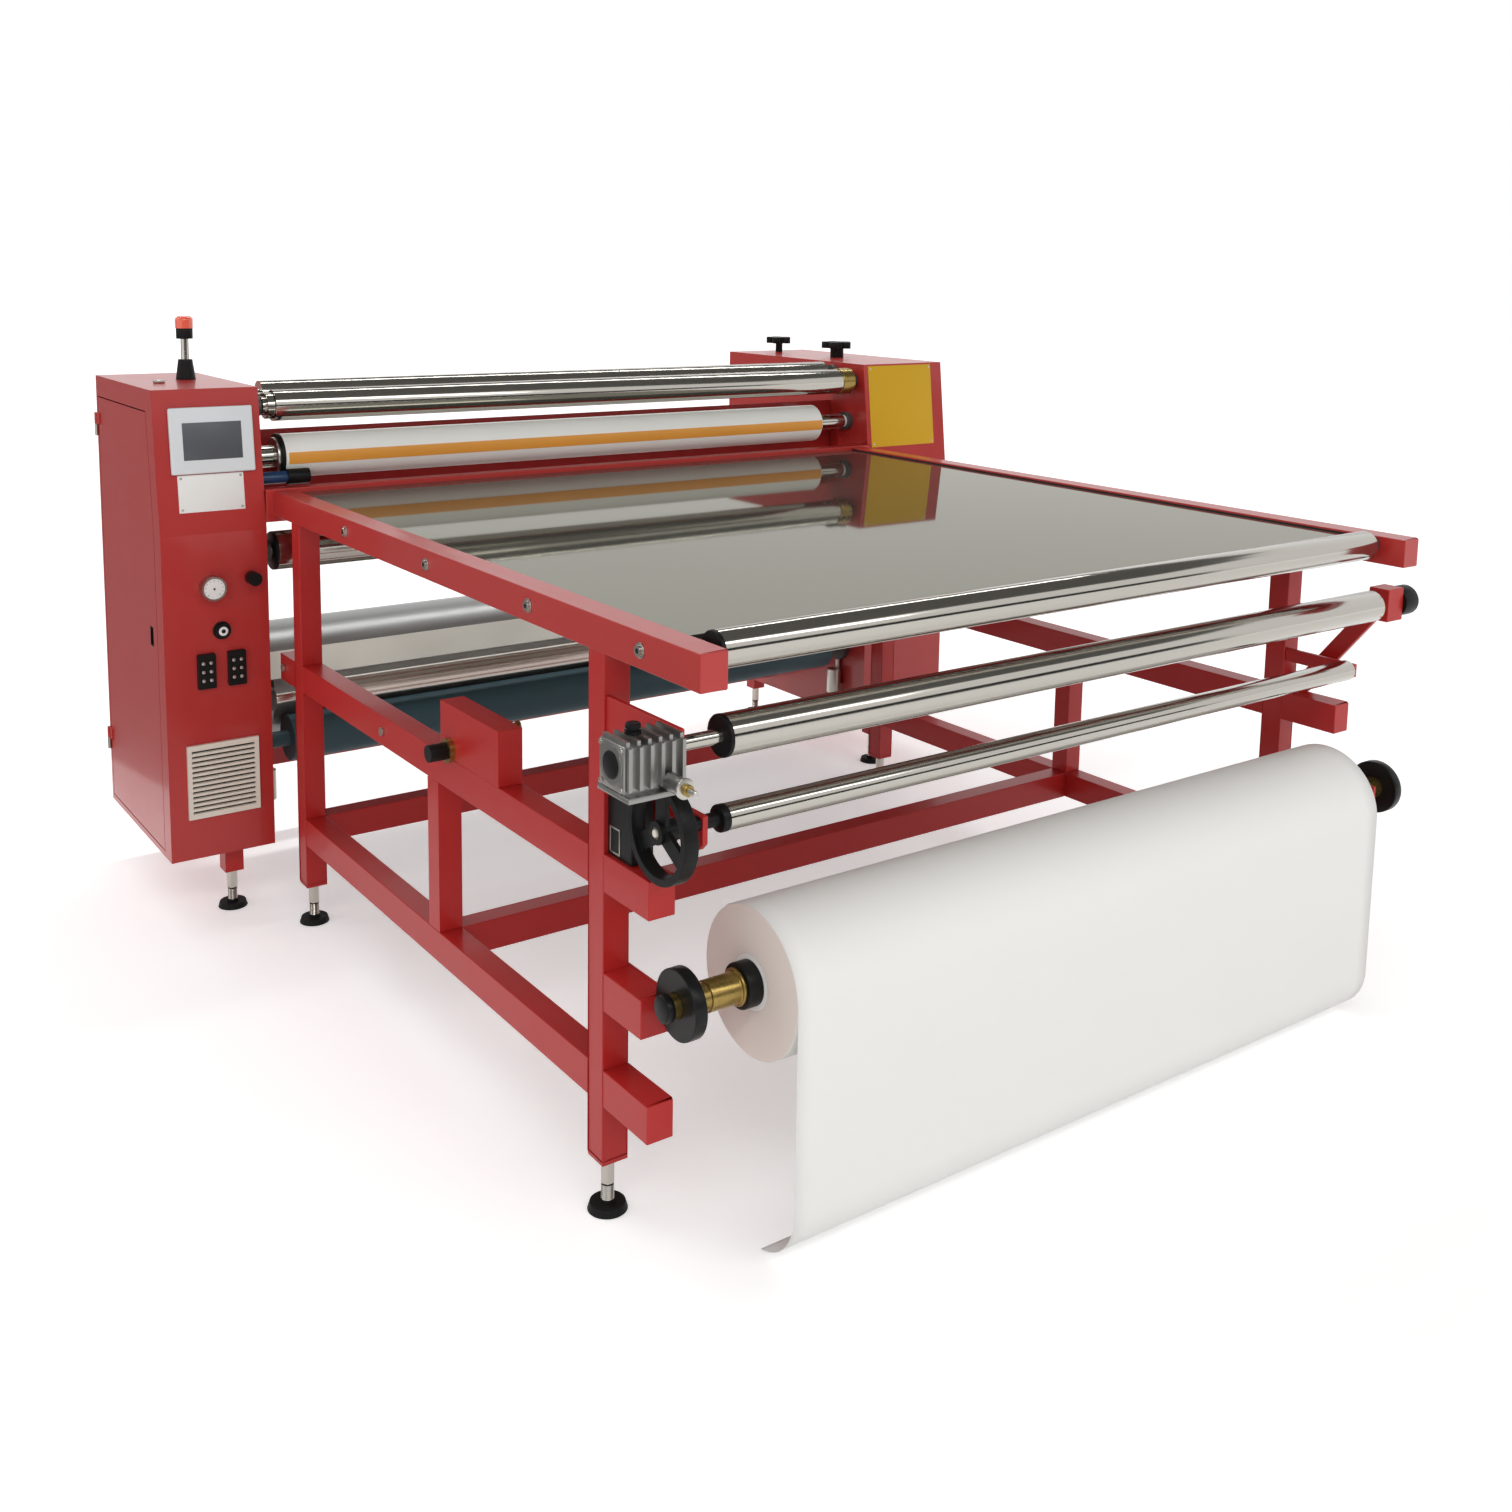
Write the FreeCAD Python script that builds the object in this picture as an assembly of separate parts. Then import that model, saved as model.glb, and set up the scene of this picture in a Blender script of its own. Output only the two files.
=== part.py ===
# Roller heat press with a feed table, built as separate solids in millimetres.
# While building, X runs along the rollers, Y from the feed table to the press, Z up from the floor.
# X = 0 is the outer face of the left table frame and Y = 0 the front face of the front legs.
import FreeCAD
import Part
import math
import os

# Clearances
RUN = 0.4           # turning or sliding piece to its bearing
DOOR_GAP = 3        # door to its opening
NOTCH_CLEAR = 0.5   # roll shaft to its notch
WEB_CLEAR = 0.4     # loose paper to the roll
CUT = 1             # cutting tools reach this far past a face

# Feed table
TABLE_W = 1850
TUBE = 50
WALL = 3
TOP_RAIL_H = 60
SIDE_RAIL_H = 65
LEG_BOTTOM = 95
TOP_RAIL_TOP = 1040
MID_RAIL_TOP = 645
LOW_RAIL_TOP = 268
TOP_RAIL_OVERHANG = 276
SIDE_RAIL_OVERHANG = 139
MID_RAIL_GAP = 15
BACK_LEG_GAP = 115
MID_POST_Y = 640
CAP_T = 5
LEG_PLATE = 8
PLATE_TOP = 1033
PLATE_T = 6
PLATE_OVERHANG = 148
PLATE_EDGE_GAP = 2
CROSS_BAR_D = 40
CROSS_BAR_COUNT = 4
CROSS_BAR_OVERHANG = 110
CROSS_BAR_BACK_GAP = 50
CLAMP_Y = 378
CLAMP_D = 248
CLAMP_H = 107

# Bolts on the rails
BOLT_R = 9
BOLT_HEAD = 6
RAIL_BOLT_FRONT = 109
RAIL_BOLT_FIRST = 368
RAIL_BOLT_PITCH = 424
RAIL_BOLT_COUNT = 4
MID_BOLT_FROM_POST = 224
MID_BOLT_FROM_END = 25

# Feet
PAD_R = 35
PAD_TOP_R = 31
PAD_H = 13
PAD_NECK_R = 13
PAD_NECK_H = 4
STEM_R = 10
STEM_IN = 35
NUT_R = 13
NUT_H = 46

# Press side plates and cabinets
SIDE_GAP = 20
SIDE_PLATE_T = 10
CAB_FRONT = 1560
CAB_BOTTOM = 161
CAB_TOP = 1290
SLANT_Z = 951
SLANT_BACK = 40
LEFT_CAB_W = 240
LEFT_CAB_D = 550
RIGHT_CAB_W = 310
RIGHT_CAB_D = 760
SHEET = 2
STUB_LEG = 45
STUB_INSET = 60
STUB_FROM_WALL = 80
DOOR_RIM = 14
DOOR_FRONT_IN = 38
DOOR_TOP_IN = 38
DOOR_T = 2
BEAM_D = 40
BEAM_BOTTOM = 965
BEAM_H = 80
BASE_BEAM_BACK = 65
BASE_BEAM_BOTTOM = 195
BASE_BEAM_H = 100
BACK_PANEL_IN = 200
BACK_PANEL_T = 3
BACK_PANEL_DOWN = 45
BACK_PANEL_UP = 123

# Press rollers: set back from the cabinet front, height, radius, gap to each side plate, journal, bearing
TOP_FRONT_IN = 90
TOP_FRONT_Z = 1238
TOP_FRONT_R = 38
TOP_FRONT_GAP = 50
TOP_FRONT_JOURNAL = 14
TOP_FRONT_BEARING = 24
TOP_REAR_IN = 185
TOP_REAR_Z = 1258
TOP_REAR_R = 34
TOP_REAR_GAP = 50
TOP_REAR_JOURNAL = 14
TOP_REAR_BEARING = 24
AIR_SHAFT_IN = 112
AIR_SHAFT_Z = 1110
AIR_SHAFT_R = 55
AIR_SHAFT_GAP = 67
AIR_SHAFT_RIGHT_GAP = 130
AIR_SHAFT_JOURNAL = 19
AIR_SHAFT_BEARING = 28
AIR_SHAFT_TAPER = 14
AIR_SHAFT_TIP_R = 40
GUIDE_IN = 40
GUIDE_Z = 515
GUIDE_R = 30
GUIDE_GAP = 170
GUIDE_JOURNAL = 12
GUIDE_BEARING = 28
UNDER_IN = 50
UNDER_Z = 886
UNDER_R = 48
UNDER_GAP = 32
UNDER_JOURNAL = 14
UNDER_BEARING = 28
RUBBER_IN = 120
RUBBER_Z = 385
RUBBER_R = 58
RUBBER_GAP = 80
RUBBER_JOURNAL = 20
RUBBER_BEARING = 45
DRUM_IN = 310
DRUM_Z = 490
DRUM_R = 156
DRUM_GAP = 60
DRUM_JOURNAL = 30
DRUM_BEARING = 70
DRUM_HOLE_CLEAR = 2
DRUM_WALL = 10
DRUM_END = 12
BEARING_T = 18
JOURNAL_GAP = 2
HEATER_R = 8
HEATER_ORBIT = 100
HEATER_COUNT = 3
APRON_T = 2
APRON_LOW_IN = 82
APRON_LOW_Z = 552
APRON_TOP_IN = 152
APRON_TOP_Z = 604

# Drive of the drum and pneumatics
GEAR_UNIT_D = 140
GEAR_UNIT_W = 110
DRIVE_MOTOR_R = 62
DRIVE_MOTOR_L = 240
DRIVE_MOTOR_OFFSET = 8
AIR_IN = 47
AIR_Z = 1066
AIR_R = 15
AIR_BLUE_L = 68
AIR_CAP_R = 19
AIR_CAP_L = 55
CYL_R = 23
CYL_L = 75
CYL_ROD_L = 30
CYL_ROD_R = 8
CYL_LUG_H = 30

# Control gear inside the left cabinet
PANEL_T = 3
PANEL_FRONT_GAP = 140
PANEL_BACK_GAP = 50
PANEL_END_GAP = 139
GEAR_ROWS = 4
GEAR_ROW_H = 120
GEAR_MARGIN = 30
GEAR_DEPTH = 95
GEAR_SHALLOW = 75

# Rollers at the front of the table: in front of the legs, height, radius, gap to each inner face, journal
TABLE_ROLLER_OUT = 199
TABLE_ROLLER_Z = 1020
TABLE_ROLLER_R = 31
TABLE_ROLLER_GAP = 26
TABLE_ROLLER_JOURNAL = 10
TABLE_BEARING_R = 18
TABLE_BEARING_T = 8
FEED_ROLLER_OUT = 193
FEED_ROLLER_Z = 880
FEED_ROLLER_R = 34
FEED_ROLLER_GAP = 46
FEED_ROLLER_RIGHT_GAP = 28
FEED_ROLLER_JOURNAL = 12
TENSION_OUT = 160
TENSION_Z = 732
TENSION_R = 22
TENSION_GAP = 67
TENSION_RIGHT_GAP = 2
TENSION_JOURNAL = 9

# Holders of the front rollers
BRACKET_T = 10
BRACKET_X = 4
GEAR_BRACKET_H = 62
GEAR_BRACKET_PAST = 22
TENSION_PLATE_OFF = 27
TENSION_PLATE_FOOT = 40
TENSION_PLATE_PAST = 14
TENSION_PLATE_DOWN = 44
TENSION_PLATE_UP = 15
TENSION_PLATE_CHAMFER = 12
END_PLATE_GAP = 6
END_PLATE_PAST = 15
END_PLATE_DOWN = 15
END_PLATE_UP = 15
ARM_T = 12
ARM_W = 38
ARM_ROOT_Y = 25
ARM_ROOT_Z = 605
ARM_BLOCK_L = 44
ARM_BLOCK_D = 48
ARM_BLOCK_H = 72
ARM_BLOCK_WALL = 8
ARM_KNOB_R = 33
ARM_KNOB_L = 46
SHAFT_END_GAP = 10

# Feed gearbox, motor box and handwheel
GEARBOX_L = 100
GEARBOX_D = 84
GEARBOX_UP = 30
GEARBOX_DOWN = 52
GEARBOX_COVER_R = 30
GEARBOX_COVER_T = 6
GEARBOX_WALL = 8
FIN_T = 6
FIN_H = 10
FIN_INSET = 8
FIN_COUNT = 6
MOTOR_BOX_X = 8
MOTOR_BOX_D = 74
MOTOR_BOX_H = 124
WHEEL_R = 83
WHEEL_RIM = 13
WHEEL_T = 26
WHEEL_HUB_R = 19
WHEEL_GAP = 26
WHEEL_HUB_L = 8
SPOKE_W = 28
SPOKE_INSET = 9

# Paper roll and its shaft
ROLL_OUT = 178
ROLL_Z = 450
ROLL_R = 127
CORE_R = 46
CORE_BORE = 38
ROLL_LEFT_GAP = 121
ROLL_RIGHT_GAP = 80
SHAFT_R = 20
CHUCK_IN = 30
CHUCK_OUT = 26
COLLAR_R = 26
COLLAR_L = 64
FLANGE_R = 31
FLANGE_L = 7
DISC_R = 58
DISC_T = 23
DISC_RIGHT_GAP = 44
TIP_R = 22
TIP_L = 26
STUB_ARM_TOP = 440
STUB_ARM_H = 67
STUB_ARM_OVERHANG = 118
ROLL_ARM_T = 8
ROLL_ARM_FRONT = 36
ROLL_ARM_DOWN = 48
ROLL_ARM_BACK = 40
WEB_T = 0.8
WEB_WRAP = 125
WRAP_STEPS = 36
WEB_BEND_Z = 108
WEB_BEND_R = 104
WEB_BEND = 80
CURVE_STEPS = 12

# Controls on the left cabinet: distance from its inner side, height
BEZEL_IN = 10
BEZEL_W = 196
BEZEL_UP = 142
BEZEL_H = 156
BEZEL_T = 12
GAUGE_IN = 127
GAUGE_Z = 822
GAUGE_R = 29
GAUGE_L = 28
GAUGE_LIP = 4
GAUGE_RECESS = 3
REGULATOR_IN = 31
REGULATOR_Z = 836
REGULATOR_R = 16
REGULATOR_L = 34
SPINDLE_R = 5
SPINDLE_L = 12
BUTTON_IN = 105
BUTTON_Z = 715
BUTTON_R = 13
BUTTON_HEAD_R = 18
BUTTON_STROKE = 5
BUTTON_L = 9
BUTTON_TAIL = 20
BUTTON_STOP = 6
SOCKET_IN = 52
SOCKET_PITCH = 72
SOCKET_COUNT = 2
SOCKET_W = 42
SOCKET_Z = 579
SOCKET_H = 84
SOCKET_T = 12
GRILLE_IN = 26
GRILLE_W = 171
GRILLE_Z = 262
GRILLE_H = 181
GRILLE_T = 8
GRILLE_BACK = 2
GRILLE_RIM = 10
GRILLE_SLATS = 13
BEACON_IN = 75
BEACON_BACK = 330
BEACON_BASE_R = 24
BEACON_NECK_R = 17
BEACON_BASE_H = 50
BEACON_POLE_R = 9
BEACON_POLE_H = 52
BEACON_RING_R = 20
BEACON_RING_H = 26
BEACON_LAMP_R = 21
BEACON_LAMP_H = 30
BEACON_LAMP_ROUND = 10

# Pressure knobs on the right cabinet
KNOB_FROM_WALL = 150
KNOB_REAR_BACK = 70
KNOB_PITCH = 320
KNOB_STEM_R = 8
KNOB_FRONT_NECK_R = 22
KNOB_REAR_NECK_R = 12
KNOB_NUT_R = 14
KNOB_RISE = 30
KNOB_DEPTH = 70
KNOB_LOBE_R = 15
KNOB_FRONT_ORBIT = 36
KNOB_REAR_ORBIT = 29
KNOB_LOBES = 5
KNOB_HEAD_T = 21

# Door latch and hinges
LATCH_IN = 86
LATCH_W = 28
LATCH_Z = 673
LATCH_L = 48
LATCH_T = 3
LATCH_DEPTH = 12
HINGE_LOW_Z = 300
HINGE_HIGH_Z = 1135
HINGE_L = 60
HINGE_R = 4
HINGE_PIN_R = 2
HINGE_LEAF = 24
HINGE_BACK = 1

# Locking knob of the clamp block
LOCK_IN = 43
LOCK_UP = 17
LOCK_STEM_R = 6
LOCK_KNOB_R = 17
LOCK_KNOB_L = 36
LOCK_COLLAR_R = 24
LOCK_COLLAR_T = 10
LOCK_TAIL = 8
LOCK_TAIL_R = 12

# Sizes that follow
RIGHT_X = TABLE_W - TUBE
BACK_LEG_Y = CAB_FRONT - BACK_LEG_GAP - TUBE
MID_RAIL_BACK = CAB_FRONT - MID_RAIL_GAP
TOP_RAIL_BOTTOM = TOP_RAIL_TOP - TOP_RAIL_H
MID_RAIL_BOTTOM = MID_RAIL_TOP - SIDE_RAIL_H
LOW_RAIL_BOTTOM = LOW_RAIL_TOP - SIDE_RAIL_H
PLATE_BOTTOM = PLATE_TOP - PLATE_T
LEFT_WALL = -SIDE_GAP
RIGHT_WALL = TABLE_W + SIDE_GAP
LEFT_CAB_X1 = LEFT_WALL - SIDE_PLATE_T
LEFT_CAB_X0 = LEFT_CAB_X1 - LEFT_CAB_W
LEFT_CAB_BACK = CAB_FRONT + LEFT_CAB_D
RIGHT_CAB_X0 = RIGHT_WALL + SIDE_PLATE_T
RIGHT_CAB_X1 = RIGHT_CAB_X0 + RIGHT_CAB_W
RIGHT_CAB_BACK = CAB_FRONT + RIGHT_CAB_D
SLANT_ANGLE = math.degrees(math.atan2(SLANT_BACK, CAB_TOP - SLANT_Z))
DOOR_AXIS_X = LEFT_CAB_X0 - HINGE_R
DOOR_AXIS_Y = LEFT_CAB_BACK - HINGE_R - HINGE_BACK
STEM_BOTTOM = PAD_H + PAD_NECK_H
KNOB_X = RIGHT_CAB_X0 + KNOB_FROM_WALL
KNOB_REAR_Y = RIGHT_CAB_BACK - KNOB_REAR_BACK
KNOB_FRONT_Y = KNOB_REAR_Y - KNOB_PITCH
DRUM_Y = CAB_FRONT + DRUM_IN
ROLL_Y = -ROLL_OUT
ROLL_X0 = TUBE + ROLL_LEFT_GAP
ROLL_X1 = RIGHT_X - ROLL_RIGHT_GAP
FEED_Y = -FEED_ROLLER_OUT
TENSION_Y = -TENSION_OUT
LOCK_Y = CLAMP_Y + CLAMP_D - LOCK_IN
LOCK_Z = MID_RAIL_TOP + LOCK_UP
WEB_FRONT = ROLL_Y - ROLL_R - WEB_CLEAR - WEB_T
ORIGIN_X = (DOOR_AXIS_X - HINGE_R + RIGHT_CAB_X1) / 2
ORIGIN_Y = (WEB_FRONT + RIGHT_CAB_BACK) / 2


def box(x0, x1, y0, y1, z0, z1):
    return Part.makeBox(x1 - x0, y1 - y0, z1 - z0, FreeCAD.Vector(x0, y0, z0))


def rod_x(x0, x1, y, z, r):
    return Part.makeCylinder(r, x1 - x0, FreeCAD.Vector(x0, y, z), FreeCAD.Vector(1, 0, 0))


def rod_y(y0, y1, x, z, r):
    return Part.makeCylinder(r, y1 - y0, FreeCAD.Vector(x, y0, z), FreeCAD.Vector(0, 1, 0))


def rod_z(z0, z1, x, y, r):
    return Part.makeCylinder(r, z1 - z0, FreeCAD.Vector(x, y, z0), FreeCAD.Vector(0, 0, 1))


def ring_x(x0, x1, y, z, r, bore):
    return rod_x(x0, x1, y, z, r).cut(rod_x(x0 - CUT, x1 + CUT, y, z, bore))


def cone_x(x0, x1, y, z, r0, r1):
    return Part.makeCone(r0, r1, x1 - x0, FreeCAD.Vector(x0, y, z), FreeCAD.Vector(1, 0, 0))


def cone_z(z0, z1, x, y, r0, r1):
    return Part.makeCone(r0, r1, z1 - z0, FreeCAD.Vector(x, y, z0), FreeCAD.Vector(0, 0, 1))


def tube_x(x0, x1, y0, y1, z0, z1):
    inner = box(x0 - CUT, x1 + CUT, y0 + WALL, y1 - WALL, z0 + WALL, z1 - WALL)
    return box(x0, x1, y0, y1, z0, z1).cut(inner)


def tube_y(x0, x1, y0, y1, z0, z1):
    inner = box(x0 + WALL, x1 - WALL, y0 - CUT, y1 + CUT, z0 + WALL, z1 - WALL)
    return box(x0, x1, y0, y1, z0, z1).cut(inner)


def tube_z(x0, x1, y0, y1, z0, z1):
    inner = box(x0 + WALL, x1 - WALL, y0 + WALL, y1 - WALL, z0 - CUT, z1 + CUT)
    return box(x0, x1, y0, y1, z0, z1).cut(inner)


def prism_x(points, x0, x1):
    """Extrude a closed (y, z) outline from x0 to x1."""
    corners = [FreeCAD.Vector(x0, y, z) for y, z in points]
    face = Part.Face(Part.makePolygon(corners + corners[:1]))
    return face.extrude(FreeCAD.Vector(x1 - x0, 0, 0))


def hexagon_z(z0, z1, x, y, r):
    corners = []
    for i in range(7):
        angle = math.radians(60 * i)
        corners.append(FreeCAD.Vector(x + r * math.cos(angle), y + r * math.sin(angle), z0))
    return Part.Face(Part.makePolygon(corners)).extrude(FreeCAD.Vector(0, 0, z1 - z0))


def fuse(first, *others):
    shape = first
    for other in others:
        shape = shape.fuse(other)
    return shape.removeSplitter()


def cut(shape, *tools):
    for tool in tools:
        shape = shape.cut(tool)
    return shape


def group(shapes):
    return Part.makeCompound(list(shapes))


def on_slant(shape):
    """Tip a shape drawn against an upright front onto the slanted front."""
    base = FreeCAD.Vector(0, CAB_FRONT, SLANT_Z)
    tipped = shape.copy()
    tipped.rotate(base, FreeCAD.Vector(1, 0, 0), -SLANT_ANGLE)
    return tipped


def cabinet_outline(front, back, bottom, top, inset):
    """Side outline of a cabinet as (y, z) corners, shrunk by an inset on every edge."""
    lean = SLANT_BACK / (CAB_TOP - SLANT_Z)
    slope = math.hypot(1, lean)
    knee = SLANT_Z - inset * (slope - 1) / lean
    front_y = front + inset
    back_y = back - inset
    low_z = bottom + inset
    top_z = top - inset
    top_y = front_y + (top_z - knee) * lean
    return [(front_y, low_z), (back_y, low_z), (back_y, top_z), (top_y, top_z), (front_y, knee)]


def roller(y, z, radius, x0, x1, journal, left_end, right_end):
    """Roller body with journals reaching to the given X positions."""
    return fuse(rod_x(x0, x1, y, z, radius), rod_x(left_end, right_end, y, z, journal))


# Feed table frame
def table_frame():
    legs = []
    rails = []
    top_rails = []
    leg_z0 = LEG_BOTTOM + LEG_PLATE
    for x in (0, RIGHT_X):
        x1 = x + TUBE
        legs.append(tube_z(x, x1, 0, TUBE, leg_z0, TOP_RAIL_BOTTOM))
        legs.append(tube_z(x, x1, BACK_LEG_Y, BACK_LEG_Y + TUBE, leg_z0, TOP_RAIL_BOTTOM))
        legs.append(tube_z(x, x1, MID_POST_Y, MID_POST_Y + TUBE, LOW_RAIL_TOP, MID_RAIL_BOTTOM))
        tip = -TOP_RAIL_OVERHANG
        top_rails.append(tube_y(x, x1, tip + CAP_T, CAB_FRONT, TOP_RAIL_BOTTOM, TOP_RAIL_TOP))
        top_rails.append(box(x, x1, tip, tip + CAP_T, TOP_RAIL_BOTTOM, TOP_RAIL_TOP))
        stub = -SIDE_RAIL_OVERHANG
        for z0, z1 in ((MID_RAIL_BOTTOM, MID_RAIL_TOP), (LOW_RAIL_BOTTOM, LOW_RAIL_TOP)):
            rails.append(tube_y(x, x1, stub + CAP_T, 0, z0, z1))
            rails.append(tube_y(x, x1, TUBE, BACK_LEG_Y, z0, z1))
            rails.append(box(x, x1, stub, stub + CAP_T, z0, z1))
        rails.append(tube_y(x, x1, BACK_LEG_Y + TUBE, MID_RAIL_BACK - CAP_T, MID_RAIL_BOTTOM, MID_RAIL_TOP))
        rails.append(box(x, x1, MID_RAIL_BACK - CAP_T, MID_RAIL_BACK, MID_RAIL_BOTTOM, MID_RAIL_TOP))
        arm_z0 = STUB_ARM_TOP - STUB_ARM_H
        rails.append(tube_y(x, x1, CAP_T - STUB_ARM_OVERHANG, 0, arm_z0, STUB_ARM_TOP))
        rails.append(box(x, x1, -STUB_ARM_OVERHANG, CAP_T - STUB_ARM_OVERHANG, arm_z0, STUB_ARM_TOP))
        for y in (0, BACK_LEG_Y):
            plate = box(x, x1, y, y + TUBE, LEG_BOTTOM, leg_z0)
            hole = rod_z(LEG_BOTTOM - CUT, leg_z0 + CUT, x + TUBE / 2, y + TUBE / 2, STEM_R)
            legs.append(plate.cut(hole))
    beams = []
    for y in (MID_POST_Y, BACK_LEG_Y):
        beams.append(tube_x(TUBE, RIGHT_X, y, y + TUBE, LOW_RAIL_BOTTOM, LOW_RAIL_TOP))
    first = -CROSS_BAR_OVERHANG
    last = CAB_FRONT - CROSS_BAR_BACK_GAP - CROSS_BAR_D
    for i in range(CROSS_BAR_COUNT):
        y = first + (last - first) * i / (CROSS_BAR_COUNT - 1)
        beams.append(tube_x(TUBE, RIGHT_X, y, y + CROSS_BAR_D, PLATE_BOTTOM - CROSS_BAR_D, PLATE_BOTTOM))
    plate_x0 = TUBE + PLATE_EDGE_GAP
    plate_x1 = RIGHT_X - PLATE_EDGE_GAP
    plate = box(plate_x0, plate_x1, -PLATE_OVERHANG, CAB_FRONT - PLATE_EDGE_GAP, PLATE_BOTTOM, PLATE_TOP)
    return {
        "table_legs": group(legs),
        "side_rails": group(rails),
        "top_rails": group(top_rails),
        "cross_beams": group(beams),
        "table_plate": plate,
    }


# Clamp block on the left middle rail, with its locking knob
def clamp():
    y1 = CLAMP_Y + CLAMP_D
    z1 = MID_RAIL_TOP + CLAMP_H
    bore = LOCK_STEM_R + RUN
    block = box(0, TUBE, CLAMP_Y, y1, MID_RAIL_TOP, z1)
    hollow = box(WALL, TUBE - WALL, CLAMP_Y + WALL, y1 - WALL, MID_RAIL_TOP - CUT, z1 - WALL)
    block = cut(block, hollow, rod_x(-CUT, TUBE + CUT, LOCK_Y, LOCK_Z, bore))
    collar = ring_x(-LOCK_COLLAR_T, 0, LOCK_Y, LOCK_Z, LOCK_COLLAR_R, bore)
    inner_x1 = TUBE + LOCK_COLLAR_T
    inner_collar = ring_x(TUBE, inner_x1, LOCK_Y, LOCK_Z, LOCK_COLLAR_R, bore)
    knob_x1 = -LOCK_COLLAR_T - RUN
    knob = fuse(
        rod_x(knob_x1 - LOCK_KNOB_L, knob_x1, LOCK_Y, LOCK_Z, LOCK_KNOB_R),
        rod_x(knob_x1 - CUT, inner_x1 + LOCK_TAIL, LOCK_Y, LOCK_Z, LOCK_STEM_R),
        rod_x(inner_x1 + RUN, inner_x1 + LOCK_TAIL, LOCK_Y, LOCK_Z, LOCK_TAIL_R),
    )
    return {
        "clamp_block": block,
        "clamp_collars": group([collar, inner_collar]),
        "clamp_knob": knob,
    }


# Levelling feet under the table legs and the cabinets
def feet():
    spots = []
    for x in (TUBE / 2, RIGHT_X + TUBE / 2):
        for y in (TUBE / 2, BACK_LEG_Y + TUBE / 2):
            spots.append((x, y))
    stubs = []
    cabinet_feet = (
        (LEFT_CAB_X1 - STUB_FROM_WALL, LEFT_CAB_BACK),
        (RIGHT_CAB_X0 + STUB_FROM_WALL, RIGHT_CAB_BACK),
    )
    for x, back in cabinet_feet:
        for y in (CAB_FRONT + STUB_INSET, back - STUB_INSET):
            half = STUB_LEG / 2
            stub = box(x - half, x + half, y - half, y + half, LEG_BOTTOM, CAB_BOTTOM)
            stubs.append(stub.cut(rod_z(LEG_BOTTOM - CUT, LEG_BOTTOM + STEM_IN, x, y, STEM_R)))
            spots.append((x, y))
    pads = []
    stems = []
    for x, y in spots:
        foot = cone_z(0, PAD_H, x, y, PAD_R, PAD_TOP_R)
        pads.append(fuse(foot, rod_z(PAD_H, STEM_BOTTOM, x, y, PAD_NECK_R)))
        stem = rod_z(STEM_BOTTOM, LEG_BOTTOM + STEM_IN, x, y, STEM_R)
        stems.append(fuse(stem, hexagon_z(LEG_BOTTOM - NUT_H, LEG_BOTTOM, x, y, NUT_R)))
    return {
        "foot_pads": group(pads),
        "foot_stems": group(stems),
        "cabinet_stub_legs": group(stubs),
    }


# Side plates, cross ties and bearings of the press
def press_frame():
    left_side = cabinet_outline(CAB_FRONT, LEFT_CAB_BACK, CAB_BOTTOM, CAB_TOP, 0)
    right_side = cabinet_outline(CAB_FRONT, RIGHT_CAB_BACK, CAB_BOTTOM, CAB_TOP, 0)
    left = prism_x(left_side, LEFT_CAB_X1, LEFT_WALL)
    right = prism_x(right_side, RIGHT_WALL, RIGHT_CAB_X0)
    drum_hole = DRUM_JOURNAL + DRUM_HOLE_CLEAR
    right = right.cut(rod_x(RIGHT_WALL - CUT, RIGHT_CAB_X0 + CUT, DRUM_Y, DRUM_Z, drum_hole))
    beam_y1 = CAB_FRONT + BEAM_D
    beam = tube_x(LEFT_WALL, RIGHT_WALL, CAB_FRONT, beam_y1, BEAM_BOTTOM, BEAM_BOTTOM + BEAM_H)
    base_y0 = LEFT_CAB_BACK - BASE_BEAM_BACK
    base_z1 = BASE_BEAM_BOTTOM + BASE_BEAM_H
    base = tube_x(LEFT_WALL, RIGHT_WALL, base_y0, base_y0 + TUBE, BASE_BEAM_BOTTOM, base_z1)
    panel_y0 = CAB_FRONT + BACK_PANEL_IN
    panel_z = BEAM_BOTTOM + BEAM_H
    panel = box(
        LEFT_WALL, RIGHT_WALL, panel_y0, panel_y0 + BACK_PANEL_T,
        panel_z - BACK_PANEL_DOWN, panel_z + BACK_PANEL_UP,
    )
    bearings = []
    for inset, z, journal, outer in (
        (TOP_FRONT_IN, TOP_FRONT_Z, TOP_FRONT_JOURNAL, TOP_FRONT_BEARING),
        (TOP_REAR_IN, TOP_REAR_Z, TOP_REAR_JOURNAL, TOP_REAR_BEARING),
        (AIR_SHAFT_IN, AIR_SHAFT_Z, AIR_SHAFT_JOURNAL, AIR_SHAFT_BEARING),
        (GUIDE_IN, GUIDE_Z, GUIDE_JOURNAL, GUIDE_BEARING),
        (UNDER_IN, UNDER_Z, UNDER_JOURNAL, UNDER_BEARING),
        (RUBBER_IN, RUBBER_Z, RUBBER_JOURNAL, RUBBER_BEARING),
        (DRUM_IN, DRUM_Z, DRUM_JOURNAL, DRUM_BEARING),
    ):
        y = CAB_FRONT + inset
        bearings.append(ring_x(LEFT_WALL, LEFT_WALL + BEARING_T, y, z, outer, journal + RUN))
        bearings.append(ring_x(RIGHT_WALL - BEARING_T, RIGHT_WALL, y, z, outer, journal + RUN))
    bore = TABLE_ROLLER_JOURNAL + RUN
    for x in (TUBE, RIGHT_X - TABLE_BEARING_T):
        x1 = x + TABLE_BEARING_T
        bearings.append(ring_x(x, x1, -TABLE_ROLLER_OUT, TABLE_ROLLER_Z, TABLE_BEARING_R, bore))
    return {
        "side_plates": group([left, right]),
        "cross_ties": group([beam, base, panel]),
        "roller_bearings": group(bearings),
    }


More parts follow.
